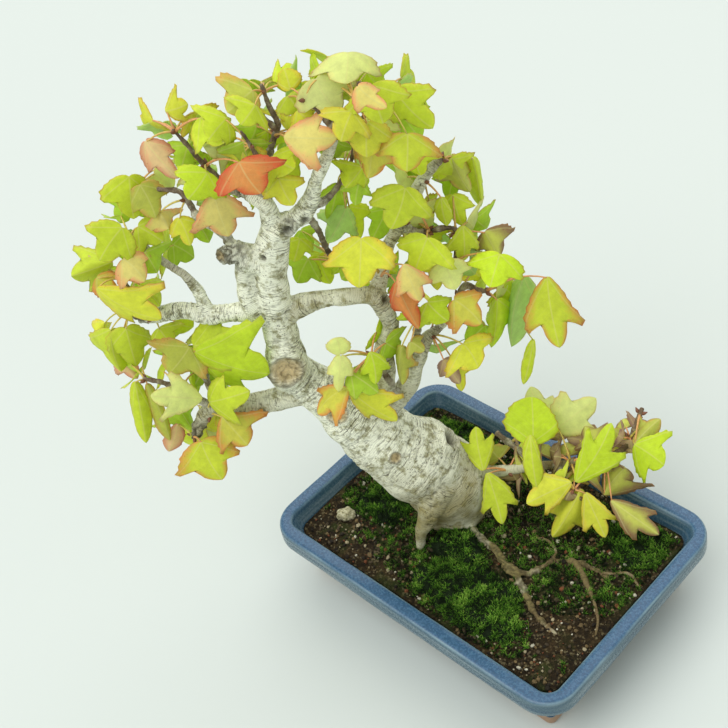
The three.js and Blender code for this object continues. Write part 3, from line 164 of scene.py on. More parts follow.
# Leaves by the shoot tip they grow on: its place, then for each leaf the way from there to its blade's base,
# the way from base to tip, its span, its form and its colour.
SPRAYS = {
    "apex_top": ((-39, 1, 243), (
        ((4, 4, 10), (6, -8, -6), 27, "wide", "pale"),
        ((-4, 6, 1), (4, -1, -10), 20, "lobed", "lime"),
    )),
    "apex_left": ((-42, -12, 242), (
        ((2, 5, 6), (7, -1, -12), 22, "wide", "pale"),
        ((-5, -1, 3), (-2, 1, 7), 9, "round", "yellow"),
        ((-4, -1, -5), (6, 2, -6), 16, "lobed", "yellow"),
        ((-10, 1, -2), (4, 0, -5), 14, "round", "lime"),
    )),
    "apex_cut": ((-27, -4, 243), (
        ((7, 3, 5), (5, -2, -12), 24, "wide", "lime"),
        ((11, -6, 11), (8, 2, -8), 13, "lobed", "peach"),
        ((1, -2, -4), (1, -9, -6), 20, "lobed", "yellow"),
        ((4, 1, -9), (1, -5, -11), 24, "wide", "yellow"),
    )),
    "apex_right": ((-29, 12, 231), (
        ((4, 2, 5), (9, 4, -16), 22, "lobed", "lime"),
        ((-1, 6, -6), (6, 3, -13), 20, "lobed", "green"),
        ((14, -5, -5), (4, -7, -10), 25, "wide", "orange_tip"),
        ((4, -13, -9), (0, -4, -11), 20, "folded", "orange"),
        ((0, 10, -24), (1, -1, -12), 18, "lobed", "lime"),
    )),
    "crown_top": ((-56, -18, 244), (
        ((0, -4, 3), (-2, -11, -3), 22, "wide", "olive"),
        ((5, -8, 1), (-1, -7, -4), 20, "lobed", "lime"),
        ((-7, 11, -5), (6, 6, 5), 16, "lobed", "lime"),
    )),
    "crown_mid": ((-56, -17, 226), (
        ((11, -5, 6), (15, 10, -3), 22, "trident", "peach"),
        ((-7, -2, 3), (-1, -6, -7), 18, "lobed", "green"),
        ((-3, 8, -4), (2, 5, 5), 16, "lobed", "yellow"),
    )),
    "crown_front": ((-54, -30, 230), (
        ((-7, -2, 10), (-1, -9, -3), 22, "wide", "lime"),
        ((-10, -1, 1), (-3, -9, -1), 24, "folded", "pale"),
    )),
    "crown_low": ((-58, -23, 213), (
        ((8, -2, 11), (8, 1, -4), 20, "wide", "lime"),
        ((11, -4, 4), (4, -1, -10), 19, "lobed", "yellow"),
        ((-9, -1, -2), (-2, -7, -1), 18, "lobed", "green"),
    )),
    "shoulder_tip": ((-80, -42, 234), (
        ((-3, 1, 7), (6, 6, 1), 14, "trident", "yellow"),
        ((10, 6, 6), (10, 1, -7), 20, "wide", "lime"),
        ((-5, -9, 0), (11, 1, -13), 14, "lobed", "pink_brown"),
    )),
    "shoulder_mid": ((-74, -37, 219), (
        ((-9, 1, 5), (-1, -6, -8), 20, "lobed", "green"),
        ((21, 0, 9), (8, -2, -10), 26, "wide", "coral"),
        ((9, -6, 4), (-2, -9, -7), 22, "wide", "bright"),
    )),
    "shoulder_low": ((-69, -34, 209), (
        ((4, -9, 6), (4, -3, -17), 24, "trident", "peach"),
        ((-5, 6, -2), (4, 1, -6), 16, "lobed", "green"),
    )),
    "upper_left_tip": ((-102, -51, 207), (
        ((-1, -1, 6), (2, -6, -15), 22, "wide", "lime"),
        ((3, 0, 3), (6, 0, -12), 20, "wide", "olive"),
        ((-11, 1, -8), (-3, -6, -10), 18, "lobed", "green"),
    )),
    "upper_left_mid": ((-87, -41, 202), (
        ((-1, -5, -6), (5, -1, -10), 13, "lobed", "yellow"),
        ((-7, -9, -3), (4, 0, -6), 20, "folded", "peach"),
        ((-3, 8, -1), (3, 4, 8), 16, "lobed", "lime"),
        ((1, 1, -13), (3, 1, -7), 20, "folded", "green"),
    )),
    "shoot_tip": ((-105, -59, 189), (
        ((10, -7, 13), (-4, -12, -8), 22, "wide", "lime"),
        ((3, 3, 4), (8, 4, -6), 18, "wide", "lime"),
        ((-5, -8, -9), (-7, -15, 0), 24, "folded", "lime"),
        ((-11, 0, -4), (5, 1, -12), 20, "lobed", "green"),
    )),
    "shoot_mid": ((-98, -56, 179), (
        ((6, -6, 10), (3, 0, -9), 24, "folded", "green"),
        ((3, -14, 11), (9, 2, -7), 18, "wide", "peach"),
    )),
    "left_twig_tip": ((-105, -68, 174), (
        ((-4, -8, 5), (6, 3, -7), 14, "lobed", "orange"),
        ((5, 3, -2), (7, 3, -9), 20, "folded", "lime"),
        ((1, -12, 5), (16, 11, -18), 24, "leaning", "yellow"),
    )),
    "left_tip": ((-108, -68, 158), (
        ((-5, -9, -7), (1, -5, -19), 26, "folded", "lime"),
        ((-14, -6, -10), (-2, -6, -8), 17, "folded", "yellow"),
        ((0, -5, -7), (1, -3, -18), 22, "wide", "lime"),
        ((-8, -8, -23), (6, 2, -11), 17, "folded", "pink_brown"),
    )),
    "left_end": ((-100, -63, 152), (
        ((-1, 0, -5), (5, 0, -7), 16, "lobed", "lime"),
    )),
    "low_rear": ((-88, -59, 137), (
        ((2, 0, 5), (20, 12, 5), 25, "wide", "lime"),
        ((5, -2, 5), (23, 16, -12), 33, "leaning", "bright"),
        ((0, -1, 4), (1, -12, -5), 27, "wide", "olive"),
        ((-2, 4, -11), (-2, -7, -8), 18, "lobed", "green"),
    )),
    "low_left_tip": ((-97, -78, 134), (
        ((-2, -4, 0), (1, -6, -30), 10, "narrow", "lime"),
        ((-1, 0, -4), (3, 0, -31), 8, "narrow", "olive"),
    )),
    "low_left_mid": ((-87, -70, 126), (
        ((10, 2, -1), (-8, -16, 12), 20, "trident", "pale"),
        ((-9, 0, -13), (4, 0, -14), 20, "folded", "green"),
    )),
    "low_mid": ((-81, -66, 113), (
        ((3, 1, 7), (16, 10, 7), 22, "lobed", "lime"),
        ((9, 1, 2), (9, 2, -13), 26, "trident", "orange"),
        ((-9, 10, -2), (4, 6, 9), 18, "lobed", "green"),
    )),
    "low_end": ((-85, -74, 104), (
        ((8, -1, 2), (8, -3, -16), 28, "wide", "orange_tip"),
        ((-10, 1, 0), (-2, -7, -12), 9, "narrow", "pink_brown"),
        ((-14, 7, -21), (0, 0, 16), 12, "lobed", "lime"),
    )),
    "gap": ((-27, -20, 136), (
        ((-4, -11, 8), (0, 1, 8), 10, "round", "pale"),
        ((-4, -11, 7), (0, -5, -15), 11, "lobed", "pale"),
        ((4, -3, 7), (3, -1, -14), 14, "trident", "bright"),
        ((-3, -9, -3), (9, 4, -9), 16, "wide", "green"),
        ((-3, -12, -9), (-6, -13, -5), 18, "leaning", "orange"),
        ((-3, -11, -11), (12, 8, -18), 16, "leaning", "yellow"),
    )),
    "rear_low": ((-36, -1, 159), (
        ((7, -10, 28), (4, -8, -16), 27, "wide", "yellow"),
        ((22, -5, 19), (5, -1, -15), 16, "trident", "peach"),
        ((19, -8, 11), (6, 1, -21), 17, "folded", "coral"),
        ((-9, 2, 2), (-5, -9, -5), 18, "lobed", "green"),
    )),
    "side_mid": ((-27, 21, 170), (
        ((10, -11, 8), (-1, -8, -11), 24, "wide", "lime"),
        ((6, -6, -4), (2, -3, -16), 14, "lobed", "yellow"),
        ((5, -13, 30), (0, -8, -14), 24, "wide", "lime"),
    )),
    "side_low": ((-17, 23, 158), (
        ((4, -10, 8), (5, -2, -10), 19, "wide", "pale"),
        ((22, 1, 12), (1, -8, -10), 25, "wide", "bright"),
    )),
    "side_tip": ((-19, 27, 168), (
        ((4, 0, 5), (2, -3, -14), 15, "trident", "lime"),
        ((-4, 5, 13), (3, -1, -13), 15, "lobed", "lime"),
        ((8, 7, -1), (6, 1, -11), 20, "folded", "dried_edge"),
    )),
    "rear_tip": ((-25, 32, 196), (
        ((1, 3, 1), (6, -1, -15), 20, "folded", "olive"),
        ((2, 13, -6), (3, -1, -21), 19, "folded", "lime"),
        ((-8, 13, -17), (-2, -5, -10), 16, "lobed", "green"),
    )),
    "rear_upper": ((-29, 24, 191), (
        ((7, 1, -6), (1, -2, -12), 7, "narrow", "lime"),
        ((-3, 4, -14), (0, -2, -6), 12, "lobed", "olive"),
    )),
    "rear_mid": ((-34, 14, 176), (
        ((-10, 3, 0), (-3, -8, -11), 20, "lobed", "green"),
    )),
    "second_mid": ((-15, 19, 143), (
        ((7, -9, 9), (10, 4, -9), 20, "wide", "orange"),
        ((1, 12, -23), (-5, -8, -7), 18, "lobed", "green"),
    )),
    "second_front": ((-19, 1, 147), (
        ((6, 0, 8), (7, 1, -8), 20, "wide", "bright"),
        ((-1, -6, -11), (5, 2, -4), 12, "lobed", "olive"),
        ((-3, -9, -12), (0, -6, -16), 15, "folded", "olive"),
    )),
    "second_tip": ((-8, 28, 143), (
        ((4, 1, -3), (0, -4, -23), 19, "folded", "bright"),
        ((9, 12, 3), (-4, -9, -32), 24, "folded", "pale_green"),
        ((19, 14, 6), (10, -11, -24), 25, "trident", "orange_tip"),
        ((8, 15, -33), (2, -11, -16), 6, "narrow", "lime"),
    )),
    "second_low": ((-22, 9, 127), (
        ((13, 3, 0), (8, 0, -8), 26, "wide", "yellow"),
        ((7, 2, -11), (3, 0, -16), 12, "lobed", "yellow"),
        ((8, -4, -6), (5, 2, -12), 13, "lobed", "dried_pink"),
    )),
    "right_twig": ((-39, 2, 216), (
        ((8, -4, -4), (-3, -7, -6), 17, "folded", "lime"),
        ((2, -2, -14), (-1, -4, -8), 12, "lobed", "green"),
    )),
    "right_twig_low": ((-41, -2, 204), (
        ((-11, 7, -22), (5, -1, -13), 18, "lobed", "lime"),
        ((-5, 1, -16), (-3, -9, -13), 17, "folded", "pale_green"),
        ((-12, 5, -11), (-2, -7, -14), 12, "lobed", "green"),
    )),
    "rear_twig": ((-59, -1, 156), (
        ((-4, -12, 18), (0, -5, -8), 16, "lobed", "lime"),
        ((-6, -9, 5), (-2, -7, -8), 18, "wide", "green"),
        ((-7, -3, 2), (3, -1, -13), 18, "wide", "lime"),
        ((-13, -4, 13), (4, 1, -7), 14, "lobed", "green"),
    )),
    "low_right_base": ((1, 18, 54), (
        ((-3, -12, 8), (-11, 8, 13), 17, "trident", "lime"),
        ((-1, -12, 8), (12, -6, -19), 18, "trident", "lime"),
    )),
    "low_right_near": ((11, 25, 56), (
        ((-1, 0, 14), (-9, 13, 11), 23, "round", "bright"),
        ((0, -2, 21), (8, -10, -19), 9, "narrow", "lime"),
        ((-7, 17, 9), (-13, 4, 9), 22, "lobed", "pale"),
    )),
    "low_right_mid": ((23, 33, 58), (
        ((-12, 7, 8), (9, 16, 10), 22, "wide", "pale"),
        ((10, -10, 4), (7, 20, 20), 20, "trident", "bright"),
        ((-13, 11, -3), (-7, 4, 11), 17, "lobed", "dried_pink"),
    )),
    "low_right_twig": ((31, 24, 55), (
        ((-1, 0, 4), (-11, -17, -4), 20, "trident", "yellow"),
        ((2, 2, 0), (-1, -17, -17), 23, "folded", "yellow"),
        ((4, 2, -1), (13, -4, -16), 15, "trident", "yellow"),
    )),
    "low_right_far": ((34, 42, 60), (
        ((-10, 7, -2), (-9, -8, 4), 17, "lobed", "dried_pink"),
        ((11, -12, -8), (21, 2, -11), 17, "trident", "dried_edge"),
        ((6, -10, -10), (3, 10, 11), 24, "folded", "dried_edge"),
    )),
    "low_right_tip": ((39, 61, 73), (
        ((4, -11, -6), (14, 2, -4), 28, "trident", "bright"),
        ((4, -11, -6), (2, 15, 4), 9, "narrow", "olive"),
    )),
    "low_right_end": ((38, 54, 64), (
        ((0, 0, -8), (-8, 1, 9), 17, "lobed", "olive"),
    )),
}
# Rounded rectangles up the pot's outside, over the rim and down the inside:
# half length, half width, corner radius, height.
FOOT_HEIGHT = 4.5
POT_HEIGHT = 34
POT_PROFILE = (
    (66.5, 43.5, 8, FOOT_HEIGHT), (69, 46, 10, 5.3), (71.5, 48.5, 11, 12), (73.6, 50.6, 12, 20),
    (74.3, 51.3, 12.2, 22.6), (75.2, 52.2, 12.6, 23.8), (79.4, 56.2, 14, 24.3), (80.5, 57.3, 14.7, 25.5),
    (80.5, 57.3, 14.7, 29), (80.5, 57.3, 14.7, 32.4), (80.1, 56.9, 14.5, 33.5),
    (79.1, 55.9, 13.8, POT_HEIGHT),
    (77, 53.6, 11, POT_HEIGHT + 0.1), (75.1, 51.5, 7.4, POT_HEIGHT), (74.1, 50.5, 6.3, 33.4),
    (73.7, 50.1, 6, 32.4), (71.5, 47.9, 6, 27), (69.2, 45.6, 6, 21.6), (66.3, 42.7, 6, 10), (65, 41.4, 6, 9),
)
# The feet are rounded squares below the pot's corners. The drain holes lie on its long middle line.
FOOT_CENTRE = (60.5, 37.5)
FOOT_HALF_SIDE = 8
DRAIN_HOLE_X = 35
DRAIN_HOLE_RADIUS = 7
# The gap between the soil and the pot's wall.
FIT_GAP = 0.3
SOIL_EDGE_HEIGHT = 27
SOIL_MOUND = {"at": (-17, 0), "height": 4.2, "spread": 30}
SOIL_EDGE = (71.5, 47.9, 6)
SOIL_BOTTOM = 9.3
MOSS_CUSHIONS = {
    "front": {"at": (16, -30), "size": (27, 15), "height": 3.4},
    "right": {"at": (55, 33), "size": (14, 12), "height": 3},
    "back": {"at": (-46, 35), "size": (21, 9.5), "height": 3.2},
    "left": {"at": (-47, -13), "size": (14, 12), "height": 2.8},
    "trunk": {"at": (-4, -14), "size": (12, 9), "height": 5},
}
# Where moss grows between the cushions: x, y and reach.
MOSS_PATCHES = ((-48, -12, 12), (-59, -14, 8), (-30, -20, 11), (-12, -16, 9), (-10, -28, 10), (7, -28, 10),
    (24, -29, 11), (34, -36, 9), (8, -39, 8), (-1, -10, 7), (1, 9, 9), (15, 12, 9), (26, 11, 8),
    (22, -3, 6), (48, -3, 9), (41, 2, 8), (56, 46, 10), (55, 35, 11), (67, 38, 7), (46, 32, 10),
    (-67, 40, 8), (-51, 41, 10), (-32, 43, 10), (43, -37, 5), (62, 3, 6), (10, 30, 10), (62, 20, 7),
    (-12, 38, 8), (30, 30, 8), (-20, -28, 6), (-14, -25, 5))
# Across a cushion of moss: share of the way out, share of its height.
CUSHION_CROWN = ((0, 1), (0.2, 1), (0.42, 0.99), (0.6, 0.95), (0.76, 0.84), (0.88, 0.68), (0.96, 0.42),
                 (1, 0.2))
# Colours of the loose grains and how common each is.
GRAIN_COLOURS = (("#d3cdb6", 0.06), ("#a89c7c", 0.1), ("#7a6644", 0.2), ("#74452a", 0.1), ("#4b3f2d", 0.27),
                 ("#251e14", 0.27))
# The loose grains and the scattered moss keep inside these half lengths and half widths.
GRAIN_AREA = (70, 46.5)
MOSS_AREA = (69, 45.5)
TUFT_LEAVES = 7
# Seeds of the random draws.
LEAF_SEED = 11
GRAIN_SEED = 23
MOSS_SEED = 31
STONE = {"at": (-58, -29), "size": (4.4, 3.4, 2.8)}
# Scars and knots in the bark: place, way it faces, radius, height of its swollen ring, depth of its middle.
WOOD_MARKS = (
    ((-57, -39.6, 128.2), (0.63, -0.46, 0.62), 6.6, 1.7, 0.7, "scar"),
    ((-45.2, -21.5, 195.8), (0.84, -0.29, -0.46), 2.2, 0.4, 0.8, "hole"),
    ((-50.5, -26.5, 193), (0.7, -0.7, 0.1), 3, 1, 1.1, "hole"),
    ((-56.3, -36, 183.5), (0.36, -0.93, 0.06), 1.8, 0.5, 1.2, "hole"),
    ((-42.3, -31.3, 104.9), (0.64, -0.69, 0.34), 4.6, 1, 1.2, "scar"),
    ((-15.7, 1.5, 76), (0.39, 0.65, 0.66), 4.4, 1.7, 2.4, "hole"),
    ((-22.5, -22.7, 83.3), (0.66, -0.69, 0.3), 2.6, 0.8, 0.6, "scar"),
    ((-31.8, 13.3, 177.1), (0.44, -0.77, 0.46), 2.4, 0.5, 1.0, "hole"),
    ((-69.2, -44.8, 184.5), (-0.4, -0.6, 0.5), 2.2, 0.4, 0.8, "scar"),
    ((-30.5, -5, 152.3), (0.72, 0.37, 0.59), 2.4, 0.5, 0.7, "hole"),
    ((-48, 2, 100), (-0.2, 0.9, 0.4), 4, 0.8, 1.0, "scar"),
    ((-72, -20, 128), (-0.8, 0.5, 0.1), 3, 0.6, 0.9, "hole"),
    ((-20, 19, 60), (0.1, 0.95, 0.2), 5, 0.9, 0.9, "scar"),
)
# Rough old ends of cut branches: middle and reach.
GNARLS = (((-68, -42, 184), 8), ((-65, -33, 208), 4.5), ((-105, -67, 153), 6), ((-84, -72, 105), 7),
    ((-50, -25, 194), 3.5), ((-78, -60, 114), 4), ((-58, -24, 193), 3))
# Limbs painted tan: partly their own bark, more brown than the trunk's, and partly painted shade under the
# crown.
TAN_AND_SHADED_LIMBS = ("arch", "second_trunk", "second_trunk_twig", "low_branch", "rear_branch", "low_right_branch")

# Half a leaf's outline from its base to its tip: share of the length, share of half the span.
LEAF_OUTLINES = {
    "wide": ((0, 0), (-0.04, 0.13), (-0.02, 0.34), (0.07, 0.59), (0.22, 0.81), (0.4, 0.95), (0.56, 1),
        (0.61, 0.92), (0.58, 0.72), (0.57, 0.54), (0.62, 0.46), (0.73, 0.42), (0.85, 0.32), (0.95, 0.15),
        (1, 0)),
    "trident": ((0, 0), (0.01, 0.1), (0.08, 0.26), (0.2, 0.46), (0.36, 0.67), (0.54, 0.86), (0.7, 0.99),
        (0.77, 0.95), (0.73, 0.78), (0.65, 0.57), (0.64, 0.43), (0.74, 0.4), (0.87, 0.31), (0.96, 0.15),
        (1, 0)),
    "lobed": ((0, 0), (-0.03, 0.12), (0, 0.32), (0.09, 0.58), (0.22, 0.8), (0.36, 0.94), (0.49, 1),
        (0.54, 0.91), (0.5, 0.71), (0.5, 0.52), (0.56, 0.42), (0.69, 0.4), (0.83, 0.33), (0.94, 0.17),
        (1, 0)),
    "round": ((0, 0), (-0.04, 0.22), (0.02, 0.5), (0.14, 0.78), (0.3, 0.95), (0.46, 1), (0.58, 0.93),
        (0.66, 0.82), (0.75, 0.74), (0.85, 0.62), (0.92, 0.46), (0.97, 0.28), (0.99, 0.14), (1, 0)),
    "narrow": ((0, 0), (0.01, 0.2), (0.06, 0.42), (0.14, 0.64), (0.24, 0.82), (0.36, 0.92), (0.48, 0.97),
        (0.58, 1), (0.66, 0.98), (0.75, 0.88), (0.84, 0.68), (0.92, 0.42), (0.97, 0.2), (1, 0)),
}
LEAF_FORMS = {
    "wide": {"outline": "wide", "fold": 10, "roll": 0, "widen": 1},
    "trident": {"outline": "trident", "fold": 14, "roll": 0, "widen": 1},
    "lobed": {"outline": "lobed", "fold": 14, "roll": 0, "widen": 1},
    "round": {"outline": "round", "fold": 6, "roll": 0, "widen": 1},
    "narrow": {"outline": "narrow", "fold": 20, "roll": 0, "widen": 1},
    "folded": {"outline": "trident", "fold": 55, "roll": 0, "widen": 1.7},
    "leaning": {"outline": "trident", "fold": 10, "roll": 50, "widen": 1.5},
}
# Leaf colours: the middle, the margin, and how far the margin's colour reaches in.
LEAF_COLOURS = {
    "pale": ("#eff5a0", "#f2e694", 0.3),
    "lime": ("#e0ee40", "#eeee5c", 0.25),
    "yellow": ("#edf04c", "#f6d954", 0.35),
    "green": ("#c6e440", "#d8ea5a", 0.2),
    "olive": ("#d3d860", "#e6b464", 0.4),
    "bright": ("#dcf136", "#e9f350", 0.15),
    "peach": ("#f2e68c", "#f6b080", 0.5),
    "pink_brown": ("#ecd09c", "#e09c7c", 0.55),
    "orange": ("#eae660", "#efa256", 0.55),
    "orange_tip": ("#e4ee48", "#f2a060", 0.42),
    "coral": ("#f0a85c", "#e86a40", 0.6),
    "dried_edge": ("#dde068", "#a07c5a", 0.7),
    "dried_pink": ("#e0c49a", "#b08c7a", 0.7),
    "dried_brown": ("#b8a070", "#86664a", 0.6),
    "pale_green": ("#ccec88", "#e6f4a2", 0.2),
}
# A bud's radius at places along it, in millimetres.
BUD_PROFILE = ((0, 0.5), (0.5, 0.8), (1.2, 0.8), (2, 0.45), (2.6, 0.12))
# Every leaf turns its upper face to the light, which comes from the front of the tree and above.
LIGHT = np.array([260, -246, 469])
# How the names of crowded sprays start, which have more leaves behind those that show.
CROWDED = ("apex", "crown", "shoulder", "right_twig", "rear", "low_right", "side")
# The one spray that has no leaves behind those that show.
SPARSE = "low_right_tip"
# What the leaves behind are coloured: the low right branch has dry ones, the crown fresh ones.
DRIED_COLOURS = ("dried_edge", "dried_pink", "olive", "dried_brown", "lime")
INNER_COLOURS = ("green", "lime", "yellow", "pale", "pale_green", "lime", "bright")
INNER_FORMS = ("wide", "lobed", "trident", "lobed")


def linear(hex_colour):
    """An sRGB hex colour as linear RGBA."""
    parts = [int(hex_colour[i:i + 2], 16) / 255 for i in (1, 3, 5)]
    return tuple(c / 12.92 if c <= 0.04045 else ((c + 0.055) / 1.055) ** 2.4 for c in parts) + (1,)


def colour(label, hex_colour, description):
    return FloatVectorProperty(name=label, description=description, default=linear(hex_colour), size=4,
                               min=0, max=1, subtype="COLOR")


def length(label, value_mm, description):
    return FloatProperty(name=label, description=description, default=value_mm * MM, min=0,
                         subtype="DISTANCE", unit="LENGTH")


def amount(label, value, description):
    return FloatProperty(name=label, description=description, default=value, min=0)


def number(label, value, description):
    return IntProperty(name=label, description=description, default=value, min=0)


class PotSettings(bpy.types.PropertyGroup):
    glaze: colour("Glaze", "#2b5272", "Cobalt glaze where it lies thick")
    glaze_thin: colour("Thin glaze", "#728b95", "Glaze that has run thin on the outer edge of the rim")
    glaze_band: colour("Band", "#48636f", "Glaze on the outside")
    clay: colour("Clay", "#a98c74", "Bare clay of the feet and the underside")
    unevenness: length("Unevenness", 0.18, "How far the pot's faces wander from true")


class WoodSettings(bpy.types.PropertyGroup):
    detail: length("Detail", 0.69, "Edge length of the bark's surface")
    relief: amount("Relief", 1, "Strength of the bark's lumps and wrinkles")
    pale: colour("Pale bark", "#f1f3dc", "Dry bark on the lit faces")
    grey: colour("Grey bark", "#aead8c", "Weathered bark")
    # Tan is partly the bark's own colour and partly painted shade on the lower and inner limbs.
    tan: colour("Tan bark", "#8f8552", "Browner bark of the lower and rear limbs")
    # The dark colour is also painted shade in the bark's creases, pits, splits, holes, cracks and folds.
    dark: colour("Fissures and painted shade", "#38321f", "Pores and fissures, and painted shade in creases and holes")
    twig: colour("Twigs", "#6f5842", "Bark of the youngest twigs")
    scar: colour("Scars", "#c4ae7c", "Healed cuts")


class LeafSettings(bpy.types.PropertyGroup):
    thickness: length("Thickness", 0.28, "Thickness of a leaf blade")
    stalk_radius: length("Stalk radius", 0.36, "Radius of a leaf stalk")
    inner_leaves: number("Inner leaves", 2, "Leaves added behind those of each shoot tip")
    stalk: colour("Stalk", "#dc9a62", "Leaf stalk in autumn colour")
    stalk_young: colour("Young stalk", "#c9bd52", "Leaf stalk that is still green")
    bud: colour("Bud", "#7a4a30", "Bud scales")


class GroundSettings(bpy.types.PropertyGroup):
    grains: number("Grains", 2600, "Loose grains on the soil")
    tufts: amount("Tufts", 0.85, "Moss tufts per square millimetre of a cushion")
    scattered: number("Scattered tufts", 6200, "Moss tufts outside the cushions")
    soil_dark: colour("Dark soil", "#17120a", "Damp soil")
    soil_brown: colour("Brown soil", "#4a3a22", "Drier crumbs")
    # The darkest moss colour is painted shade, between the tufts and on the mound under them.
    moss_painted_shade: colour("Moss shade", "#0f1d06", "Painted shade of the moss between the tufts")
    moss_green: colour("Moss", "#558a22", "Moss leaves")
    moss_tip: colour("Moss tips", "#c0e464", "Fresh tips of the moss")
    stone: colour("Stone", "#a9a37f", "The stone on the soil")


class StageSettings(bpy.types.PropertyGroup):
    floor: colour("Floor", "#c9cfca", "The floor's colour")
    sky: amount("Sky", 0.84, "Strength of the light from all sides")
    key: amount("Key", 1.5, "Strength of the soft light from the front left")
    back: amount("Back", 1.0, "Strength of the soft light from behind")


def place(points):
    """Points in millimetres from the middle of the pot's underside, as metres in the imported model."""
    return (np.asarray(points, float) + POT_MIDDLE) * MM


def set_up(node, settings):
    """Sets a node's attributes and the values of its sockets. A socket that is given as a value is linked."""
    for key, value in settings.items():
        if isinstance(value, bpy.types.NodeSocket):
            node.id_data.links.new(value, node.inputs[key])
        elif key == "stops":
            ramp = node.color_ramp
            while len(ramp.elements) < len(value):
                ramp.elements.new(1)
            for element, (position, shade) in zip(ramp.elements, value):
                element.position = position
                element.color = tuple(shade)
        elif isinstance(key, int) or key in node.inputs:
            node.inputs[key].default_value = value
        else:
            setattr(node, key, value)


def add(tree, kind, settings, out=0):
    """Adds a node, sets it up and returns one of its outputs."""
    node = tree.nodes.new("ShaderNode" + kind)
    set_up(node, settings)
    return node.outputs[out]


def new_material(name, roughness, specular=0.5):
    """A new material, the function that adds a node to it, and its shader."""
    material = bpy.data.materials.new(name)
    material.use_nodes = True
    shader = material.node_tree.nodes["Principled BSDF"]
    set_up(shader, {"Roughness": roughness, "Specular IOR Level": specular})
    return material, partial(add, material.node_tree), shader


def piece_from(name, points, faces):
    """A new object of points in metres and faces."""
    mesh = bpy.data.meshes.new(name)
    mesh.from_pydata([tuple(p) for p in points], [], [tuple(f) for f in faces])
    mesh.update()
    return in_scene(name, mesh)


def in_scene(name, data):
    piece = bpy.data.objects.new(name, data)
    bpy.context.scene.collection.objects.link(piece)
    return piece


def only(piece, *others):
    """Makes the piece the active object, and it and the others the selected ones."""
    bpy.ops.object.select_all(action="DESELECT")
    for chosen in (piece, *others):
        chosen.select_set(True)
    bpy.context.view_layer.objects.active = piece


def apply_modifier(piece, kind, **settings):
    only(piece)
    modifier = piece.modifiers.new(kind.title(), kind)
    for key, value in settings.items():
        setattr(modifier, key, value)
    bpy.ops.object.modifier_apply(modifier=modifier.name)


def freeze(piece, name):
    """Names the piece and moves its place, turn and size into its mesh."""
    only(piece)
    bpy.ops.object.transform_apply(location=True, rotation=True, scale=True)
    piece.name = name
    piece.data.name = name
    return piece


def keep(piece, slot, *nodes):
    """Declares a finished piece: its body and the nodes it stands for. The slot is not used."""
    if not len(piece.data.polygons):
        raise RuntimeError(f"{piece.name} has no faces")
    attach(piece, "root")
    if nodes:
        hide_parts(*nodes)


def waves(points, size, seed=0):
    """Smooth noise from -1 to 1 at points in millimetres, with features of about the given size."""
    away = Vector((seed * 17.3, seed * 5.1, seed * 9.7))
    scaled = np.asarray(points, float) / size
    return np.array([noise.noise(Vector(p) + away) for p in scaled.tolist()])


def read(items, field, width):
    """One field of all of a mesh's items as rows of numbers."""
    values = np.empty(len(items) * width)
    items.foreach_get(field, values)
    return values.reshape(-1, width)


def coordinates(piece):
    return read(piece.data.vertices, "co", 3)


def normals(piece):
    return read(piece.data.vertex_normals, "vector", 3)


def faces_of(piece):
    return [tuple(polygon.vertices) for polygon in piece.data.polygons]


def set_coordinates(piece, co):
    piece.data.vertices.foreach_set("co", np.asarray(co, float).ravel())
    piece.data.update()


def set_attribute(piece, name, kind, values):
    attribute = piece.data.attributes.new(name, kind, "POINT")
    field = {"FLOAT": "value", "FLOAT_VECTOR": "vector", "FLOAT_COLOR": "color"}[kind]
    attribute.data.foreach_set(field, np.asarray(values, float).ravel())


def loft(name, rings):
    """A closed solid through rings of points in metres: a filled circle, extruded from ring to ring."""
    bpy.ops.object.select_all(action="DESELECT")
    bpy.ops.mesh.primitive_circle_add(vertices=len(rings[0]), radius=1, fill_type="NGON")
    piece = bpy.context.object
    bpy.ops.object.mode_set(mode="EDIT")
    bpy.ops.mesh.select_all(action="SELECT")
    mesh = bmesh.from_edit_mesh(piece.data)
    mesh.verts.ensure_lookup_table()
    for vertex, point in zip(mesh.verts, rings[0]):
        vertex.co = point
    for before, ring in zip(rings, rings[1:]):
        bpy.ops.mesh.extrude_region_move()
        mesh = bmesh.from_edit_mesh(piece.data)
        moved = [vertex for vertex in mesh.verts if vertex.select]
        order = {tuple(np.round(Vector(p), 7)): i for i, p in enumerate(before)}
        for vertex in moved:
            vertex.co = ring[order[tuple(np.round(vertex.co, 7))]]
    bpy.ops.mesh.select_all(action="DESELECT")
    bpy.ops.mesh.select_non_manifold()
    bpy.ops.mesh.edge_face_add()
    bpy.ops.mesh.select_all(action="SELECT")
    bpy.ops.mesh.normals_make_consistent(inside=False)
    bpy.ops.object.mode_set(mode="OBJECT")
    return freeze(piece, name)


def rounded_rectangle(half_length, half_width, radius, z, corner_steps=10, side_steps=8):
    """A rounded rectangle as points in millimetres, level at z."""
    corners = ((1, 1, 0), (-1, 1, 90), (-1, -1, 180), (1, -1, 270))

    def on_corner(sx, sy, degrees):
        angle = math.radians(degrees)
        return np.array((sx * (half_length - radius) + radius * math.cos(angle),
                         sy * (half_width - radius) + radius * math.sin(angle), z))

    points = []
    for i, (sx, sy, start) in enumerate(corners):
        points += [on_corner(sx, sy, start + 90 * step / corner_steps) for step in range(corner_steps + 1)]
        from_point = points[-1]
        to_point = on_corner(*corners[(i + 1) % 4][:2], start + 90)
        points += [from_point + (to_point - from_point) * step / side_steps for step in range(1, side_steps)]
    return np.array(points)


def soil_height(x, y):
    away = np.hypot(x - SOIL_MOUND["at"][0], y - SOIL_MOUND["at"][1]) / SOIL_MOUND["spread"]
    ripples = np.sin(x / 9) * np.cos(y / 7) + np.sin((x + y) / 13)
    return SOIL_EDGE_HEIGHT + SOIL_MOUND["height"] * np.exp(-away * away) + 0.35 * ripples


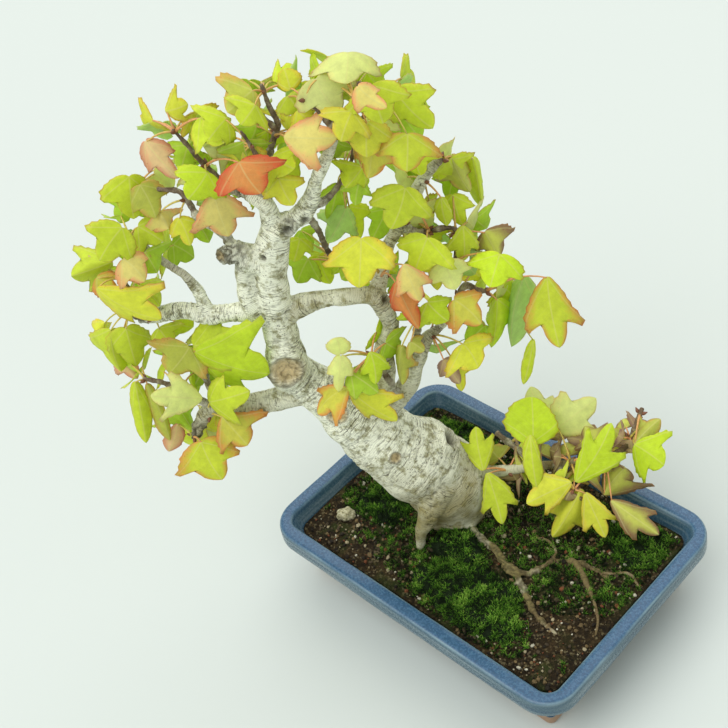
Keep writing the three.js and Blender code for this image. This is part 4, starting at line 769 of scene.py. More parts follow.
def smooth_path(points, step):
    """Points of any number of values on a smooth curve through the given ones, about step apart."""
    p = np.asarray(points, float)
    ends = np.vstack([2 * p[0] - p[1], p, 2 * p[-1] - p[-2]])
    out = []
    for i in range(1, len(ends) - 2):
        a, b, c, d = ends[i - 1:i + 3]
        count = max(1, round(np.linalg.norm((c - b)[:3]) / step))
        for t in np.arange(count) / count:
            out.append(0.5 * (2 * b + (c - a) * t + (2 * a - 5 * b + 4 * c - d) * t * t
                              + (3 * b - a - 3 * c + d) * t ** 3))
    out.append(p[-1])
    return np.array(out)


def tubes(name, paths, sides_resolution):
    """A mesh of round tubes along paths of points (x, y, z, radius) in millimetres, made from one curve."""
    curve = bpy.data.curves.new(name, "CURVE")
    curve.dimensions = "3D"
    curve.bevel_depth = MM
    curve.bevel_resolution = sides_resolution
    curve.use_fill_caps = True
    for path in paths:
        spline = curve.splines.new("POLY")
        spline.points.add(len(path) - 1)
        co = np.column_stack([place(path[:, :3]), np.ones(len(path))])
        spline.points.foreach_set("co", co.ravel())
        spline.points.foreach_set("radius", path[:, 3])
    only(in_scene(name, curve))
    bpy.ops.object.convert(target="MESH")
    piece = bpy.context.object
    apply_modifier(piece, "WELD", merge_threshold=1e-6)
    return piece


def limb_paths():
    """Every limb and surface root by name, smoothed, as points (x, y, z, radius)."""
    paths = {name: smooth_path(points, PATH_STEP) for name, points in LIMBS.items()}
    for name, points in SURFACE_ROOTS.items():
        raised = [(x, y, soil_height(x, y) + lift, radius) for x, y, radius, lift in points]
        paths["root_" + name] = smooth_path(raised, PATH_STEP)
    for name, path in paths.items():
        count = len(path)
        at, radius = path[:, :3], path[:, 3]
        along = np.arange(count) * PATH_STEP
        nodes = 0.22 * np.exp(-(((along % NODE_SPACING) - 3) / 0.8) ** 2) + waves(at, 2.2, 7) * 0.3
        swell = waves(at, 7, len(name)) * 0.09 + np.where(radius < 1.7, nodes, 0)
        path[:, 3] *= 1 + swell
        wander = np.column_stack([waves(at, 9, seed) for seed in (3, 4, 5)])
        fade = np.minimum(1, np.minimum(np.arange(count), np.arange(count)[::-1]) / 6)
        path[:, :3] += wander * fade[:, None] * np.minimum(0.5, 0.25 * path[:, 3:])
    return paths


def rounded_end(path):
    """The path with its last radius drawn in to a rounded end."""
    way = path[-1, :3] - path[-2, :3]
    way /= np.linalg.norm(way)
    radius = path[-1, 3]
    caps = [np.append(path[-1, :3] + way * radius * a, radius * b)
            for a, b in ((0.25, 0.93), (0.45, 0.7), (0.55, 0.35))]
    return np.vstack([path, caps])


def nearest_limb(points, paths):
    """The nearest limb to each point: its number, its radius, and the place along and beside its axis."""
    axis, radius, along, limb, normal, binormal, tangent = [], [], [], [], [], [], []
    for i, path in enumerate(paths.values()):
        steps = np.linalg.norm(np.diff(path[:, :3], axis=0), axis=1)
        ways = np.gradient(path[:, :3], axis=0)
        ways /= np.linalg.norm(ways, axis=1)[:, None] + 1e-9
        side = np.cross((0.3, 1, 0.1), ways[0])
        for way in ways:
            side = side - way * side.dot(way)
            side /= np.linalg.norm(side)
            normal.append(side)
            binormal.append(np.cross(way, side))
        axis.append(path[:, :3])
        tangent.append(ways)
        radius.append(path[:, 3])
        along.append(np.append(0, np.cumsum(steps)) + 37 * i)
        limb.append(np.full(len(path), i))
    axis, radius, along, limb, tangent = map(np.concatenate, (axis, radius, along, limb, tangent))
    best = np.empty(len(points), int)
    # In batches, because the table of all distances would fill the memory.
    for i in range(0, len(points), BATCH):
        part = points[i:i + BATCH]
        square = (part ** 2).sum(1)[:, None] + (axis ** 2).sum(1) - 2 * part @ axis.T
        best[i:i + BATCH] = np.argmin(np.sqrt(np.maximum(square, 0)) - radius, axis=1)
    away = points - axis[best]
    ahead, aside, across = ((away * np.array(way)[best]).sum(1) for way in (tangent, normal, binormal))
    return limb[best], radius[best], np.column_stack([along[best] + ahead, aside, across])


def bark_material(settings):
    """Bark of an old maple: dry, pale and matt, with dark pores and wrinkles across the limbs, and painted
    shade in its creases and holes.
    """
    material, node, shader = new_material("bark_old_maple", 0.88, 0.25)
    here = node("TexCoord", {}, "Object")
    limb = node("Attribute", {"attribute_name": "limb"}, "Vector")
    look = node("Attribute", {"attribute_name": "look"}, "Vector")
    young, tan_and_shaded, marked = node("SeparateXYZ", {0: look}).node.outputs
    hollow = node("Attribute", {"attribute_name": "hollow"}, "Fac")
    # Lichen-pale and weathered patches a few millimetres wide.
    patches = node("TexNoise", {"Scale": 260, "Detail": 7, "Roughness": 0.66, "Vector": here})
    pale = node("ValToRGB", {"stops": ((0.3, linear("#918e6e")), (0.39, settings.grey), (0.5, settings.pale)),
                             0: patches})
    # The bark turns tan towards the foot and on some limbs, more so in broad areas of two centimetres; on the
    # limbs this tan is partly painted shade.
    broad = node("TexNoise", {"Scale": 45, "Detail": 3, "Vector": here})
    height = node("SeparateXYZ", {0: here}, "Z")
    low = node("MapRange", {"From Min": 0.09, "From Max": 0.042, "To Max": 1.1, "Value": height})
    tan_limb = node("Math", {"operation": "MULTIPLY", 0: tan_and_shaded, 1: 0.6})
    tan_total = node("Math", {"operation": "ADD", 0: low, 1: tan_limb})
    spread = node("MapRange", {"From Min": 0.35, "From Max": 0.6, "To Min": 0.35, "To Max": 1.05,
                               "Value": broad})
    tan_factor = node("Math", {"operation": "MULTIPLY", "use_clamp": True, 0: tan_total, 1: spread})
    base = node("Mix", {"data_type": "RGBA", 0: tan_factor, 6: pale, 7: settings.tan}, 2)
    # Ring wrinkles run across each limb, coarse ones 1.4 mm apart and fine ones half that.
    # They wander and break off.
    coarse = node("TexWave", {"Scale": 0.22, "Distortion": 8, "Detail": 3, "Detail Scale": 0.8,
                              "Vector": limb}, 1)
    fine = node("TexWave", {"Scale": 0.45, "Distortion": 9, "Detail": 3, "Detail Scale": 0.6,
                            "Vector": limb}, 1)
    coarse_line = node("MapRange", {"From Min": 0.2, "From Max": 0.05, "Value": coarse})
    fine_line = node("MapRange", {"From Min": 0.3, "From Max": 0.1, "To Max": 0.4, "Value": fine})
    squeezed = node("Mapping", {"Scale": (0.4, 0.13, 0.13), "Vector": limb})
    wrinkle = node("TexNoise", {"Scale": 1, "Detail": 3, "Roughness": 0.6, "Vector": squeezed})
    breaks = node("MapRange", {"From Min": 0.44, "From Max": 0.6, "Value": wrinkle})
    where = node("MapRange", {"From Min": 0.38, "From Max": 0.58, "To Min": 0.3, "To Max": 0.9,
                              "Value": broad})
    coarse_part = node("Math", {"operation": "MULTIPLY", 0: coarse_line, 1: breaks})
    lines = node("Math", {"operation": "MAXIMUM", 0: coarse_part, 1: fine_line})
    line_factor = node("Math", {"operation": "MULTIPLY", 0: lines, 1: where})
    # Pores: dark specks of a quarter of a millimetre, gathered in places.
    cells = node("TexVoronoi", {"Scale": 1050, "Randomness": 1, "Vector": here})
    specks = node("MapRange", {"From Min": 0.34, "From Max": 0.18, "To Max": 0.8, "Value": cells})
    gathered = node("TexNoise", {"Scale": 200, "Detail": 3, "Vector": here})
    gather = node("MapRange", {"From Min": 0.47, "From Max": 0.62, "Value": gathered})
    speck_factor = node("Math", {"operation": "MULTIPLY", 0: specks, 1: gather})
    both = node("Math", {"operation": "MAXIMUM", 0: speck_factor, 1: line_factor})
    aged = node("Mix", {"data_type": "RGBA", 0: both, 6: base, 7: settings.dark}, 2)
    # Twigs are brown with grey skin left in places.
    skin = node("ValToRGB", {"stops": ((0.4, linear("#4a3628")), (0.55, settings.twig), (0.7, settings.grey)),
                             0: patches})
    twiggy = node("Mix", {"data_type": "RGBA", 0: young, 6: aged, 7: skin}, 2)
    # Scars are buff, with darker rings of old growth.
    rings = node("MapRange", {"From Min": 0.3, "From Max": 0.6, "To Min": 0.55, "To Max": 1,
                              "Value": patches})
    scar_shade = node("Mix", {"data_type": "RGBA", 0: rings, 6: settings.dark, 7: settings.scar}, 2)
    scarred = node("Mix", {"data_type": "RGBA", 0: marked, 6: twiggy, 7: scar_shade}, 2)
    # Painted shade in creases, holes, cracks and folds, and the scars' dark growth rings, darken the bark.
    final = node("Mix", {"data_type": "RGBA", 0: hollow, 6: scarred, 7: settings.dark}, 2)
    relief = node("Math", {"operation": "MULTIPLY", 0: both, 1: -0.9})
    grain = node("TexNoise", {"Scale": 900, "Detail": 3, "Vector": here})
    raised = node("Math", {"operation": "ADD", 0: relief, 1: grain})
    bump = node("Bump", {"Strength": 0.55, "Distance": 0.25 * MM, "Height": raised})
    set_up(shader, {"Base Color": final, "Normal": bump})
    return material


class MAPLE_OT_wood(bpy.types.Operator):
    """Grows the trunk, branches, twigs and surface roots as one woody piece"""
    bl_idname = "maple.wood"
    bl_label = "Trunk and branches"

    def execute(self, context):
        settings = context.scene.maple_wood
        paths = limb_paths()
        is_root, is_tan_and_shaded, is_leg = (np.array([name.startswith(start) for name in paths])
                                   for start in ("root_", TAN_AND_SHADED_LIMBS, "side_root"))
        # Thick limbs are grown together with a remesh. Their thin ends stay tubes.
        thick, thin = [], []
        for root, path in zip(is_root, paths.values()):
            under = np.where(path[:, 3] < (THIN_ROOT if root else THIN_LIMB))[0]
            cut = under[0] if len(under) else len(path)
            if cut > 3:
                thick.append(rounded_end(path[:cut + 1]))
            if cut < len(path) - 2:
                thin.append(rounded_end(path[max(0, cut - 3):]))
        wood = tubes("trunk_and_limbs", thick, 6)
        apply_modifier(wood, "REMESH", mode="VOXEL", voxel_size=settings.detail, adaptivity=0)
        apply_modifier(wood, "SMOOTH", factor=0.5, iterations=4)
        co = coordinates(wood) / MM - POT_MIDDLE
        out = normals(wood)
        limb, radius, beside = nearest_limb(co, paths)
        thickness = np.minimum(1, radius / 6)
        lumps = waves(co, 7, 1) * 0.7 * thickness + waves(co, 3.2, 2) * 0.14 * thickness
        wrinkles = (1 - np.abs(waves(beside * (1 / 1.9, 1 / 7, 1 / 7), 1, 6)) * 5).clip(0, 1)
        patches = (waves(co, 14, 8) * 2.4 + 0.35).clip(0, 1)
        wrinkled = -0.45 * wrinkles * patches * np.minimum(1, radius / 4)
        pits = -0.5 * (waves(co, 1.6, 9) * 2.4 - 0.95).clip(0, 1) * thickness
        rise = settings.relief * (lumps + wrinkled + pits)
        # Old cut ends are rough and split. Below, their colour is darkened a little all over, and in the
        # splits as painted shade.
        rough = np.zeros(len(co))
        for at, reach in GNARLS:
            rough = np.maximum(rough, np.exp(-(np.linalg.norm(co - np.array(at), axis=1) / reach) ** 4))
        splits = (1 - np.abs(waves(co, 2.1, 15)) * 3).clip(0, 1)
        rise += rough * (waves(co, 3.4, 14) * 1.8 - 0.9 * splits)
        on_root = is_root[limb]
        rise += on_root * (waves(co, 2.4, 18) * 1.0 - 0.45 * splits)
        marked, hollow = self.marks(co, rise)
        set_coordinates(wood, place(co + out * rise[:, None]))
        # Painted shade: the colour darkens in the wrinkles and pits, and on old cut ends and roots a little
        # all over and more in their splits.
        shaded = ((wrinkles - 0.65) * 2.2 * patches).clip(0, 0.55) + (pits * -1.4).clip(0, 0.45)
        shaded = np.maximum(shaded, rough * (0.35 + 0.75 * splits).clip(0, 0.9))
        shaded = np.maximum(shaded, on_root * (0.12 + 0.7 * splits))
        only(wood, tubes("twigs", thin, 2))
        bpy.ops.object.join()
        all_co = coordinates(wood) / MM - POT_MIDDLE
        twig_zeros = np.zeros(len(all_co) - len(co))
        limb, radius, beside = nearest_limb(all_co, paths)
        young = ((2.4 - radius) / 1.3).clip(0, 0.92) * np.where(is_root[limb], 0.75, 1) * ~is_leg[limb]
        # Roots and the tan limbs take the tan colour; on the limbs it is partly painted shade.
        tan_and_shaded = np.where(is_root[limb], 1.25, is_tan_and_shaded[limb])
        look = np.column_stack([young, tan_and_shaded, np.append(marked, twig_zeros)])
        set_attribute(wood, "limb", "FLOAT_VECTOR", beside)
        set_attribute(wood, "look", "FLOAT_VECTOR", look)
        # The painted shade of wrinkles, pits, splits, holes, cracks and folds, with the scars' dark growth
        # rings.
        set_attribute(wood, "hollow", "FLOAT", np.append(np.maximum(hollow * 0.9, shaded), twig_zeros))
        wood.data.materials.append(bark_material(settings))
        wood.data.shade_smooth()
        keep(freeze(wood, "trunk_and_limbs"), "bark", "trunk_and_branches")
        return {"FINISHED"}

    def marks(self, co, rise):
        """Shapes scars and knots into co and rise. Returns how marked each point is, and its painted shade in
        holes, cracks and folds with the scars' dark growth rings.
        """
        marked, hollow = np.zeros(len(co)), np.zeros(len(co))
        for at, facing, size, ring, depth, kind in WOOD_MARKS:
            facing = np.array(facing) / np.linalg.norm(facing)
            away = co - np.array(at)
            ahead = away @ facing
            if size > BIG_CUT:
                # The saw left this face flat.
                flat = np.exp(-(np.linalg.norm(away - ahead[:, None] * facing, axis=1) / (0.95 * size)) ** 6)
                flat *= np.abs(ahead) < size * 0.9
                co += facing * (-0.75 * flat * (ahead - 0.4))[:, None]
                ahead = (co - np.array(at)) @ facing
            distance = np.linalg.norm(away - ahead[:, None] * facing, axis=1)
            distance = distance * (1 + 0.12 * waves(co, 3, 12))
            near = np.abs(ahead) < size * 1.3 + 1.5
            scar = near & (kind == "scar")
            bowl = np.exp(-(distance / (0.62 * size)) ** 4)
            band = np.exp(-((distance - size) / (0.22 * size + 0.3)) ** 2)
            ripple = 0.16 * np.cos(distance * 2 * math.pi / 1.2) * np.exp(-(distance / size) ** 4)
            rise += near * (ring * band - depth * bowl) + scar * ripple
            marked = np.maximum(marked, scar * 0.9 * np.exp(-(distance / size / 0.88) ** 8))
            # Inside a hole the colour is darkened as painted shade.
            hole = near & (kind == "hole")
            hollow = np.maximum(hollow, hole * np.exp(-(distance / size / 0.75) ** 4))
            # Inside a scar its cracks are darkened as painted shade and dark growth rings are painted; round
            # its edge the seam is darkened as painted shade.
            checks = (1 - np.abs(waves(co, 2.4, 16)) * 7).clip(0, 0.5)
            checks += 0.18 * np.cos(distance * 2 * math.pi / 1.3 + 2.5 * waves(co, 2.5, 17)).clip(0, 1)
            seam = 0.75 * np.exp(-((distance - size * 0.9) / 0.4) ** 2)
            checks = np.where(distance < size * 0.84, checks, seam)
            hollow = np.maximum(hollow, scar * (distance < size * 1.1) * checks)
            if size > BIG_CUT:
                # Bark that has grown round the cut lies in folds beside it, darkened in their grooves as
                # painted shade.
                folds = (np.cos(distance * 2 * math.pi / 2.1 + 2 * waves(co, 4, 21)) - 0.35).clip(0, 1)
                folds *= np.exp(-((distance - 1.75 * size) / (0.42 * size)) ** 2) * (np.abs(ahead) < 2 * size)
                rise -= 0.55 * folds
                hollow = np.maximum(hollow, 0.75 * folds)
        return marked, hollow


def leaf_blank(outline, thickness):
    """A flat leaf from a grid, made once and bent for each leaf: its points, its faces and its lobe."""
    stations, halves = 25, 4
    bpy.ops.object.select_all(action="DESELECT")
    bpy.ops.mesh.primitive_grid_add(x_subdivisions=stations - 1, y_subdivisions=2 * halves, size=2)
    blank = bpy.context.object
    co = coordinates(blank)
    t = (co[:, 0] + 1) / 2
    across = np.abs(co[:, 1]) ** 0.85
    shape = smooth_path([(u, v, 0) for u, v in outline], 0.001)
    along = np.append(0, np.cumsum(np.linalg.norm(np.diff(shape[:, :2], axis=0), axis=1)))
    edge_u, edge_v = (np.interp(t * along[-1], along, shape[:, i]) for i in (0, 1))
    teeth = 1 + 0.04 * np.cos(np.round(t * (stations - 1)) * math.pi) * np.sin(math.pi * t) * across ** 6
    mid_u = t ** 1.15
    u = mid_u + (edge_u - mid_u) * across
    v = np.sign(co[:, 1]) * edge_v * across * teeth
    set_coordinates(blank, np.column_stack([u, v, np.zeros(len(u))]))
    set_attribute(blank, "across", "FLOAT", across)
    bpy.ops.object.mode_set(mode="EDIT")
    bpy.ops.mesh.select_all(action="SELECT")
    bpy.ops.mesh.remove_doubles(threshold=1e-4)
    bpy.ops.object.mode_set(mode="OBJECT")
    apply_modifier(blank, "SOLIDIFY", thickness=thickness / MM, offset=0)
    made = {"co": coordinates(blank), "faces": faces_of(blank),
            "across": read(blank.data.attributes["across"].data, "value", 1)[:, 0],
            "lobe": max(outline, key=lambda point: point[1])}
    bpy.data.objects.remove(blank)
    return made


def bend_leaf(blank, base, tip, span, form_name, draw):
    """The points of one leaf in millimetres and what its material reads of each."""
    form = LEAF_FORMS[form_name]
    way = tip - base
    size = np.linalg.norm(way)
    way /= size
    square = LIGHT - (base + tip) / 2
    square -= way * square.dot(way)
    square /= np.linalg.norm(square)
    roll = math.radians(form["roll"] + draw.uniform(-13, 13))
    out = square * math.cos(roll) + np.cross(way, square) * math.sin(roll)
    side = np.cross(out, way)
    half = span * form["widen"] / 2
    u, v, level = blank["co"].T
    a, hand = np.abs(v), np.sign(v)
    fold = math.radians(form["fold"] + draw.uniform(-4, 5))
    curl = math.radians(draw.choice((-10, 4, 8, 14, 24, 34)) + draw.uniform(-4, 4))
    arch = draw.uniform(0.02, 0.12)
    flutter = draw.uniform(0.015, 0.04)
    ruffle = draw.uniform(0.008, 0.022)
    phase = draw.uniform(0, 6.3)
    uneven = draw.uniform(-0.12, 0.12)
    sway = draw.uniform(-0.2, 0.2)
    lift = (size * arch * 4 * u * (1 - u) + span * flutter * np.sin(6 * u + phase + 2 * hand) * a
            + span * ruffle * np.sin(17 * u + phase * 3 + hand) * a ** 3)
    wide = (1 + uneven * hand + 0.07 * np.sin(5 * u + 2 * phase + 1.7 * hand)
            + 0.035 * np.sin(15 * u + 5 * phase + 2.3 * hand) * blank["across"] ** 4)
    angle = fold + curl * a / 2
    beside = half * a * wide * np.cos(angle) * hand + size * sway * u * (u - 0.4)
    down = half * a * wide * np.sin(angle)
    turn = fold + curl * a
    face = out[None] * np.cos(turn)[:, None] + side[None] * (hand * np.sin(turn))[:, None]
    points = (base + np.outer(u * size, way) + np.outer(beside, side) + np.outer(lift - down, out)
              + face * level[:, None])
    lobe = np.array(blank["lobe"]) * (size, half)
    lobe /= np.linalg.norm(lobe)
    vein = half * a * lobe[0] - u * size * lobe[1]
    where = np.column_stack([blank["across"], level < 0, np.full(len(u), draw.random())])
    return points, where, np.column_stack([half * v, vein, u * size])


def leaf_material():
    """A thin maple leaf: soft sheen, lit through from behind, pale veins, its margin turning with autumn."""
    material, node, shader = new_material("leaf_maple", 0.52, 0.35)
    here = node("TexCoord", {}, "Object")
    middle = node("Attribute", {"attribute_name": "leaf_middle"}, "Color")
    margin = node("Attribute", {"attribute_name": "leaf_margin"}, "Color")
    where = node("Attribute", {"attribute_name": "leaf_where"}, "Vector")
    reading = node("Attribute", {"attribute_name": "leaf_reading"}, "Vector")
    across, under, own = node("SeparateXYZ", {0: where}).node.outputs
    beside, lobe_way, along = node("SeparateXYZ", {0: reading}).node.outputs
    # The margin's colour reaches in unevenly, in blotches of two or three millimetres.
    blotch = node("TexNoise", {"Scale": 300, "Detail": 7, "Roughness": 0.7, "Vector": here})
    uneven = node("Math", {"operation": "MULTIPLY_ADD", 0: blotch, 1: 0.9, 2: -0.45})
    edge = node("Math", {"operation": "ADD", 0: across, 1: uneven})
    reached = node("Math", {"operation": "ADD", 0: edge, 1: margin.node.outputs["Alpha"]})
    blush = node("MapRange", {"From Min": 0.95, "From Max": 1.5, "To Max": 0.95, "Value": reached})
    autumn = node("Mix", {"data_type": "RGBA", 0: blush, 6: middle, 7: margin}, 2)
    # Lighter and darker areas, as the cells between the small veins show.
    cells = node("TexVoronoi", {"feature": "DISTANCE_TO_EDGE", "Scale": 900, "Vector": here})
    net = node("MapRange", {"From Max": 0.12, "To Min": 0.1, "To Max": 0, "Value": cells})
    shade = node("MapRange", {"From Min": 0.3, "From Max": 0.7, "To Min": 0.85, "To Max": 1.08,
                              "Value": blotch})
    mottled = node("Mix", {"data_type": "RGBA", "blend_type": "MULTIPLY", 0: 1.0, 6: autumn, 7: shade}, 2)
    # Three main veins, a third of a millimetre wide, and fine side veins.
    mid = node("Math", {"operation": "ABSOLUTE", 0: beside})
    mid_vein = node("MapRange", {"From Min": 0.42, "From Max": 0.12, "Value": mid})
    lateral = node("Math", {"operation": "ABSOLUTE", 0: lobe_way})
    lateral_vein = node("MapRange", {"From Min": 0.36, "From Max": 0.1, "To Max": 0.85, "Value": lateral})
    slope = node("Math", {"operation": "MULTIPLY_ADD", 0: mid, 1: -0.8, 2: along})
    wave = node("Math", {"operation": "PINGPONG", 0: slope, 1: 1.1})
    side_vein = node("MapRange", {"From Min": 0.16, "From Max": 0.03, "To Max": 0.3, "Value": wave})
    veins = node("Math", {"operation": "MAXIMUM", 0: mid_vein, 1: lateral_vein})
    all_veins = node("Math", {"operation": "MAXIMUM", 0: veins, 1: side_vein})
    netted = node("Math", {"operation": "MAXIMUM", 0: all_veins, 1: net})
    vein_factor = node("Math", {"operation": "MULTIPLY", 0: netted, 1: 0.38})
    veined = node("Mix", {"data_type": "RGBA", 0: vein_factor, 6: mottled, 7: linear("#eee9a0")}, 2)
    # Small rusty specks gather towards the margin.
    dots = node("TexVoronoi", {"Scale": 700, "Vector": here})
    dot = node("MapRange", {"From Min": 0.22, "From Max": 0.12, "To Max": 0.55, "Value": dots})
    near_margin = node("MapRange", {"From Min": 0.9, "From Max": 1.5, "Value": reached})
    speckle = node("Math", {"operation": "MULTIPLY", 0: dot, 1: near_margin})
    specked = node("Mix", {"data_type": "RGBA", 0: speckle, 6: veined, 7: linear("#b8652c")}, 2)
    # The outermost fifth of a millimetre is tan or coral on most leaves, and the underside is paler.
    rim = node("MapRange", {"From Min": 0.93, "From Max": 0.985, "Value": across})
    rim_part = node("Math", {"operation": "MULTIPLY", 0: own, 1: 0.6})
    rim_factor = node("Math", {"operation": "MULTIPLY", 0: rim, 1: rim_part})
    rimmed = node("Mix", {"data_type": "RGBA", 0: rim_factor, 6: specked, 7: linear("#cf8a4c")}, 2)
    paler = node("Math", {"operation": "MULTIPLY", 0: under, 1: 0.3})
    final = node("Mix", {"data_type": "RGBA", 0: paler, 6: rimmed, 7: linear("#dde6a4")}, 2)
    bump = node("Bump", {"Strength": 0.4, "Distance": 0.12 * MM, "Height": all_veins})
    set_up(shader, {"Base Color": final, "Normal": bump})
    through = node("BsdfTranslucent", {"Color": final})
    both = node("MixShader", {0: 0.42, 1: shader.outputs[0], 2: through})
    set_up(material.node_tree.nodes["Material Output"], {"Surface": both})
    return material


def stalk_material():
    """A leaf stalk: smooth, slightly glossy, from green to coral along its length."""
    material, node, shader = new_material("stalk_maple", 0.42)
    here = node("TexCoord", {}, "Object")
    tint = node("Attribute", {"attribute_name": "leaf_middle"}, "Color")
    mottle = node("TexNoise", {"Scale": 800, "Detail": 3, "Vector": here})
    shade = node("MapRange", {"From Min": 0.3, "From Max": 0.7, "To Min": 0.78, "To Max": 1.12,
                              "Value": mottle})
    final = node("Mix", {"data_type": "RGBA", "blend_type": "MULTIPLY", 0: 1.0, 6: tint, 7: shade}, 2)
    bump = node("Bump", {"Strength": 0.3, "Distance": 0.1 * MM, "Height": mottle})
    set_up(shader, {"Base Color": final, "Normal": bump})
    return material


def tube_points(path, sides=6):
    """A closed tube round a path of points (x, y, z, radius): points and faces."""
    path = np.asarray(path, float)
    ways = np.gradient(path[:, :3], axis=0)
    ways /= np.linalg.norm(ways, axis=1)[:, None]
    side = np.cross((0.31, 0.9, 0.2), ways[0])
    points, faces = [], []
    for (x, y, z, radius), way in zip(path, ways):
        side = side - way * side.dot(way)
        side /= np.linalg.norm(side)
        other = np.cross(way, side)
        for k in range(sides):
            angle = 2 * math.pi * k / sides
            points.append(np.array((x, y, z)) + radius * (math.cos(angle) * side + math.sin(angle) * other))
    for i in range(len(path) - 1):
        for k in range(sides):
            here, after = i * sides + k, i * sides + (k + 1) % sides
            faces.append((here, after, after + sides, here + sides))
    last = (len(path) - 1) * sides
    return np.array(points), faces + [tuple(range(sides))[::-1], tuple(range(last, last + sides))]


def nearest_on_wood(at):
    """The point of the limbs' axes nearest to a place, with the radius and the way there."""
    best, least = None, math.inf
    for points in LIMBS.values():
        for a, b in zip(points, points[1:]):
            start, line = np.array(a[:3], float), np.array(b[:3], float) - a[:3]
            t = min(1, max(0, (at - start).dot(line) / line.dot(line)))
            point = start + line * t
            distance = np.linalg.norm(point - at)
            if distance < least:
                least = distance
                best = point, a[3] + (b[3] - a[3]) * t, line / np.linalg.norm(line)
    return best


class MAPLE_OT_leaves(bpy.types.Operator):
    """Makes each shoot tip's leaves, their stalks and its buds as one piece"""
    bl_idname = "maple.leaves"
    bl_label = "Leaves"

    def execute(self, context):
        settings = context.scene.maple_leaves
        draw = random.Random(LEAF_SEED)
        blanks = {name: leaf_blank(outline, settings.thickness) for name, outline in LEAF_OUTLINES.items()}
        blade, stalk_finish = leaf_material(), stalk_material()
        for name, (at, leaves) in SPRAYS.items():
            at = np.array(at, float)
            point, radius, way = nearest_on_wood(at)
            rows = [(at + offset, at + offset + reach, *rest) for offset, reach, *rest in leaves]
            rows += self.inner_leaves(name, at, settings.inner_leaves, draw)
            points, faces, kinds = [], [], []
            readings = {"leaf_middle": [], "leaf_margin": [], "leaf_where": [], "leaf_reading": []}

            def gather(shape, kind, *new_readings):
                start = sum(map(len, points))
                points.append(shape[0])
                faces.extend(tuple(i + start for i in face) for face in shape[1])
                kinds.extend([kind] * len(shape[1]))
                for rows_read, new in zip(readings.values(), new_readings):
                    rows_read.append(np.broadcast_to(new, (len(shape[0]), np.shape(new)[-1])))

            for base, tip, span, form, colour_name in rows:
                middle, margin, reach = LEAF_COLOURS[colour_name]
                light = draw.uniform(0.92, 1.08)
                middle, margin = ([c * light for c in linear(tint)[:3]] for tint in (middle, margin))
                blank = blanks[LEAF_FORMS[form]["outline"]]
                bent, *read_there = bend_leaf(blank, base, tip, span, form, draw)
                gather((bent, blank["faces"]), 0, [*middle, 1], [*margin, reach], *read_there)
                # The stalk leaves the twig's side, rises and comes into the blade along its midrib.
                into = (tip - base) / np.linalg.norm(tip - base)
                start = point + (base - point) / max(1e-6, np.linalg.norm(base - point)) * radius * 0.6
                rise = np.array((0, 0, 1)) * np.linalg.norm(base - start) * draw.uniform(0.06, 0.16)
                end = base + into * 0.5
                path = []
                for t in np.linspace(0, 1, 8):
                    bow = start + (end - start) * t + rise * 4 * t * (1 - t)
                    thick = settings.stalk_radius / MM * (1.35 - 0.6 * t + (0.5 if t == 0 else 0))
                    path.append((*bow, thick))
                mix = draw.random() if reach < 0.6 else 1
                stalk = [a * mix + b * (1 - mix) for a, b in zip(settings.stalk, settings.stalk_young)]
                gather(tube_points(path), 1, stalk, stalk, (0, 0, 0), (0, 0, 0))
            # Two buds sit opposite each other below the stalks.
            across = np.cross(way, (0.2, 0.1, 1))
            across /= np.linalg.norm(across)
            for turn in (-1, 1):
                root = point + across * turn * radius * 0.7
                aim = across * turn * 0.75 + way * 0.65
                bud = [(*(root + aim * ahead), thick) for ahead, thick in BUD_PROFILE]
                gather(tube_points(bud), 1, settings.bud, settings.bud, (0, 0, 0), (0, 0, 0))
            piece = piece_from("shoot_" + name, place(np.concatenate(points)), faces)
            for key, rows_read in readings.items():
                kind = "FLOAT_COLOR" if key in ("leaf_middle", "leaf_margin") else "FLOAT_VECTOR"
                set_attribute(piece, key, kind, np.concatenate(rows_read))
            piece.data.materials.append(blade)
            piece.data.materials.append(stalk_finish)
            piece.data.polygons.foreach_set("material_index", kinds)
            piece.data.shade_smooth()
            keep(piece, "leaf", "leaves_" + name)
        return {"FINISHED"}

    def inner_leaves(self, name, at, count, draw):
        """Leaves behind and under those of the shoot tip, as a crown has on its shaded side."""
        if name == SPARSE:
            return []
        low = name.startswith("low_right")
        back = np.array((-0.5, 0.55, 0)) * (0.5 if low else 1)
        rows = []
        for _ in range(count + 2 * name.startswith(CROWDED) + 2 * low):
            turn = draw.uniform(0, 2 * math.pi)
            side = np.array((math.cos(turn), math.sin(turn), 0))
            offset = (side * 0.7 + back) * draw.uniform(7, 12) + np.array((0, 0, draw.uniform(-6, 3)))
            reach = (side * 0.6 + back) * draw.uniform(5, 9) + np.array((0, 0, draw.uniform(-12, -3)))
            if low:
                offset = offset * 0.7 + np.array((0, 0, 3))
                reach[2] = draw.uniform(-5, 4)
            span = draw.uniform(16, 22)
            tint = draw.choice(DRIED_COLOURS if low else INNER_COLOURS)
            rows.append((at + offset, at + offset + reach, span, draw.choice(INNER_FORMS), tint))
        return rows


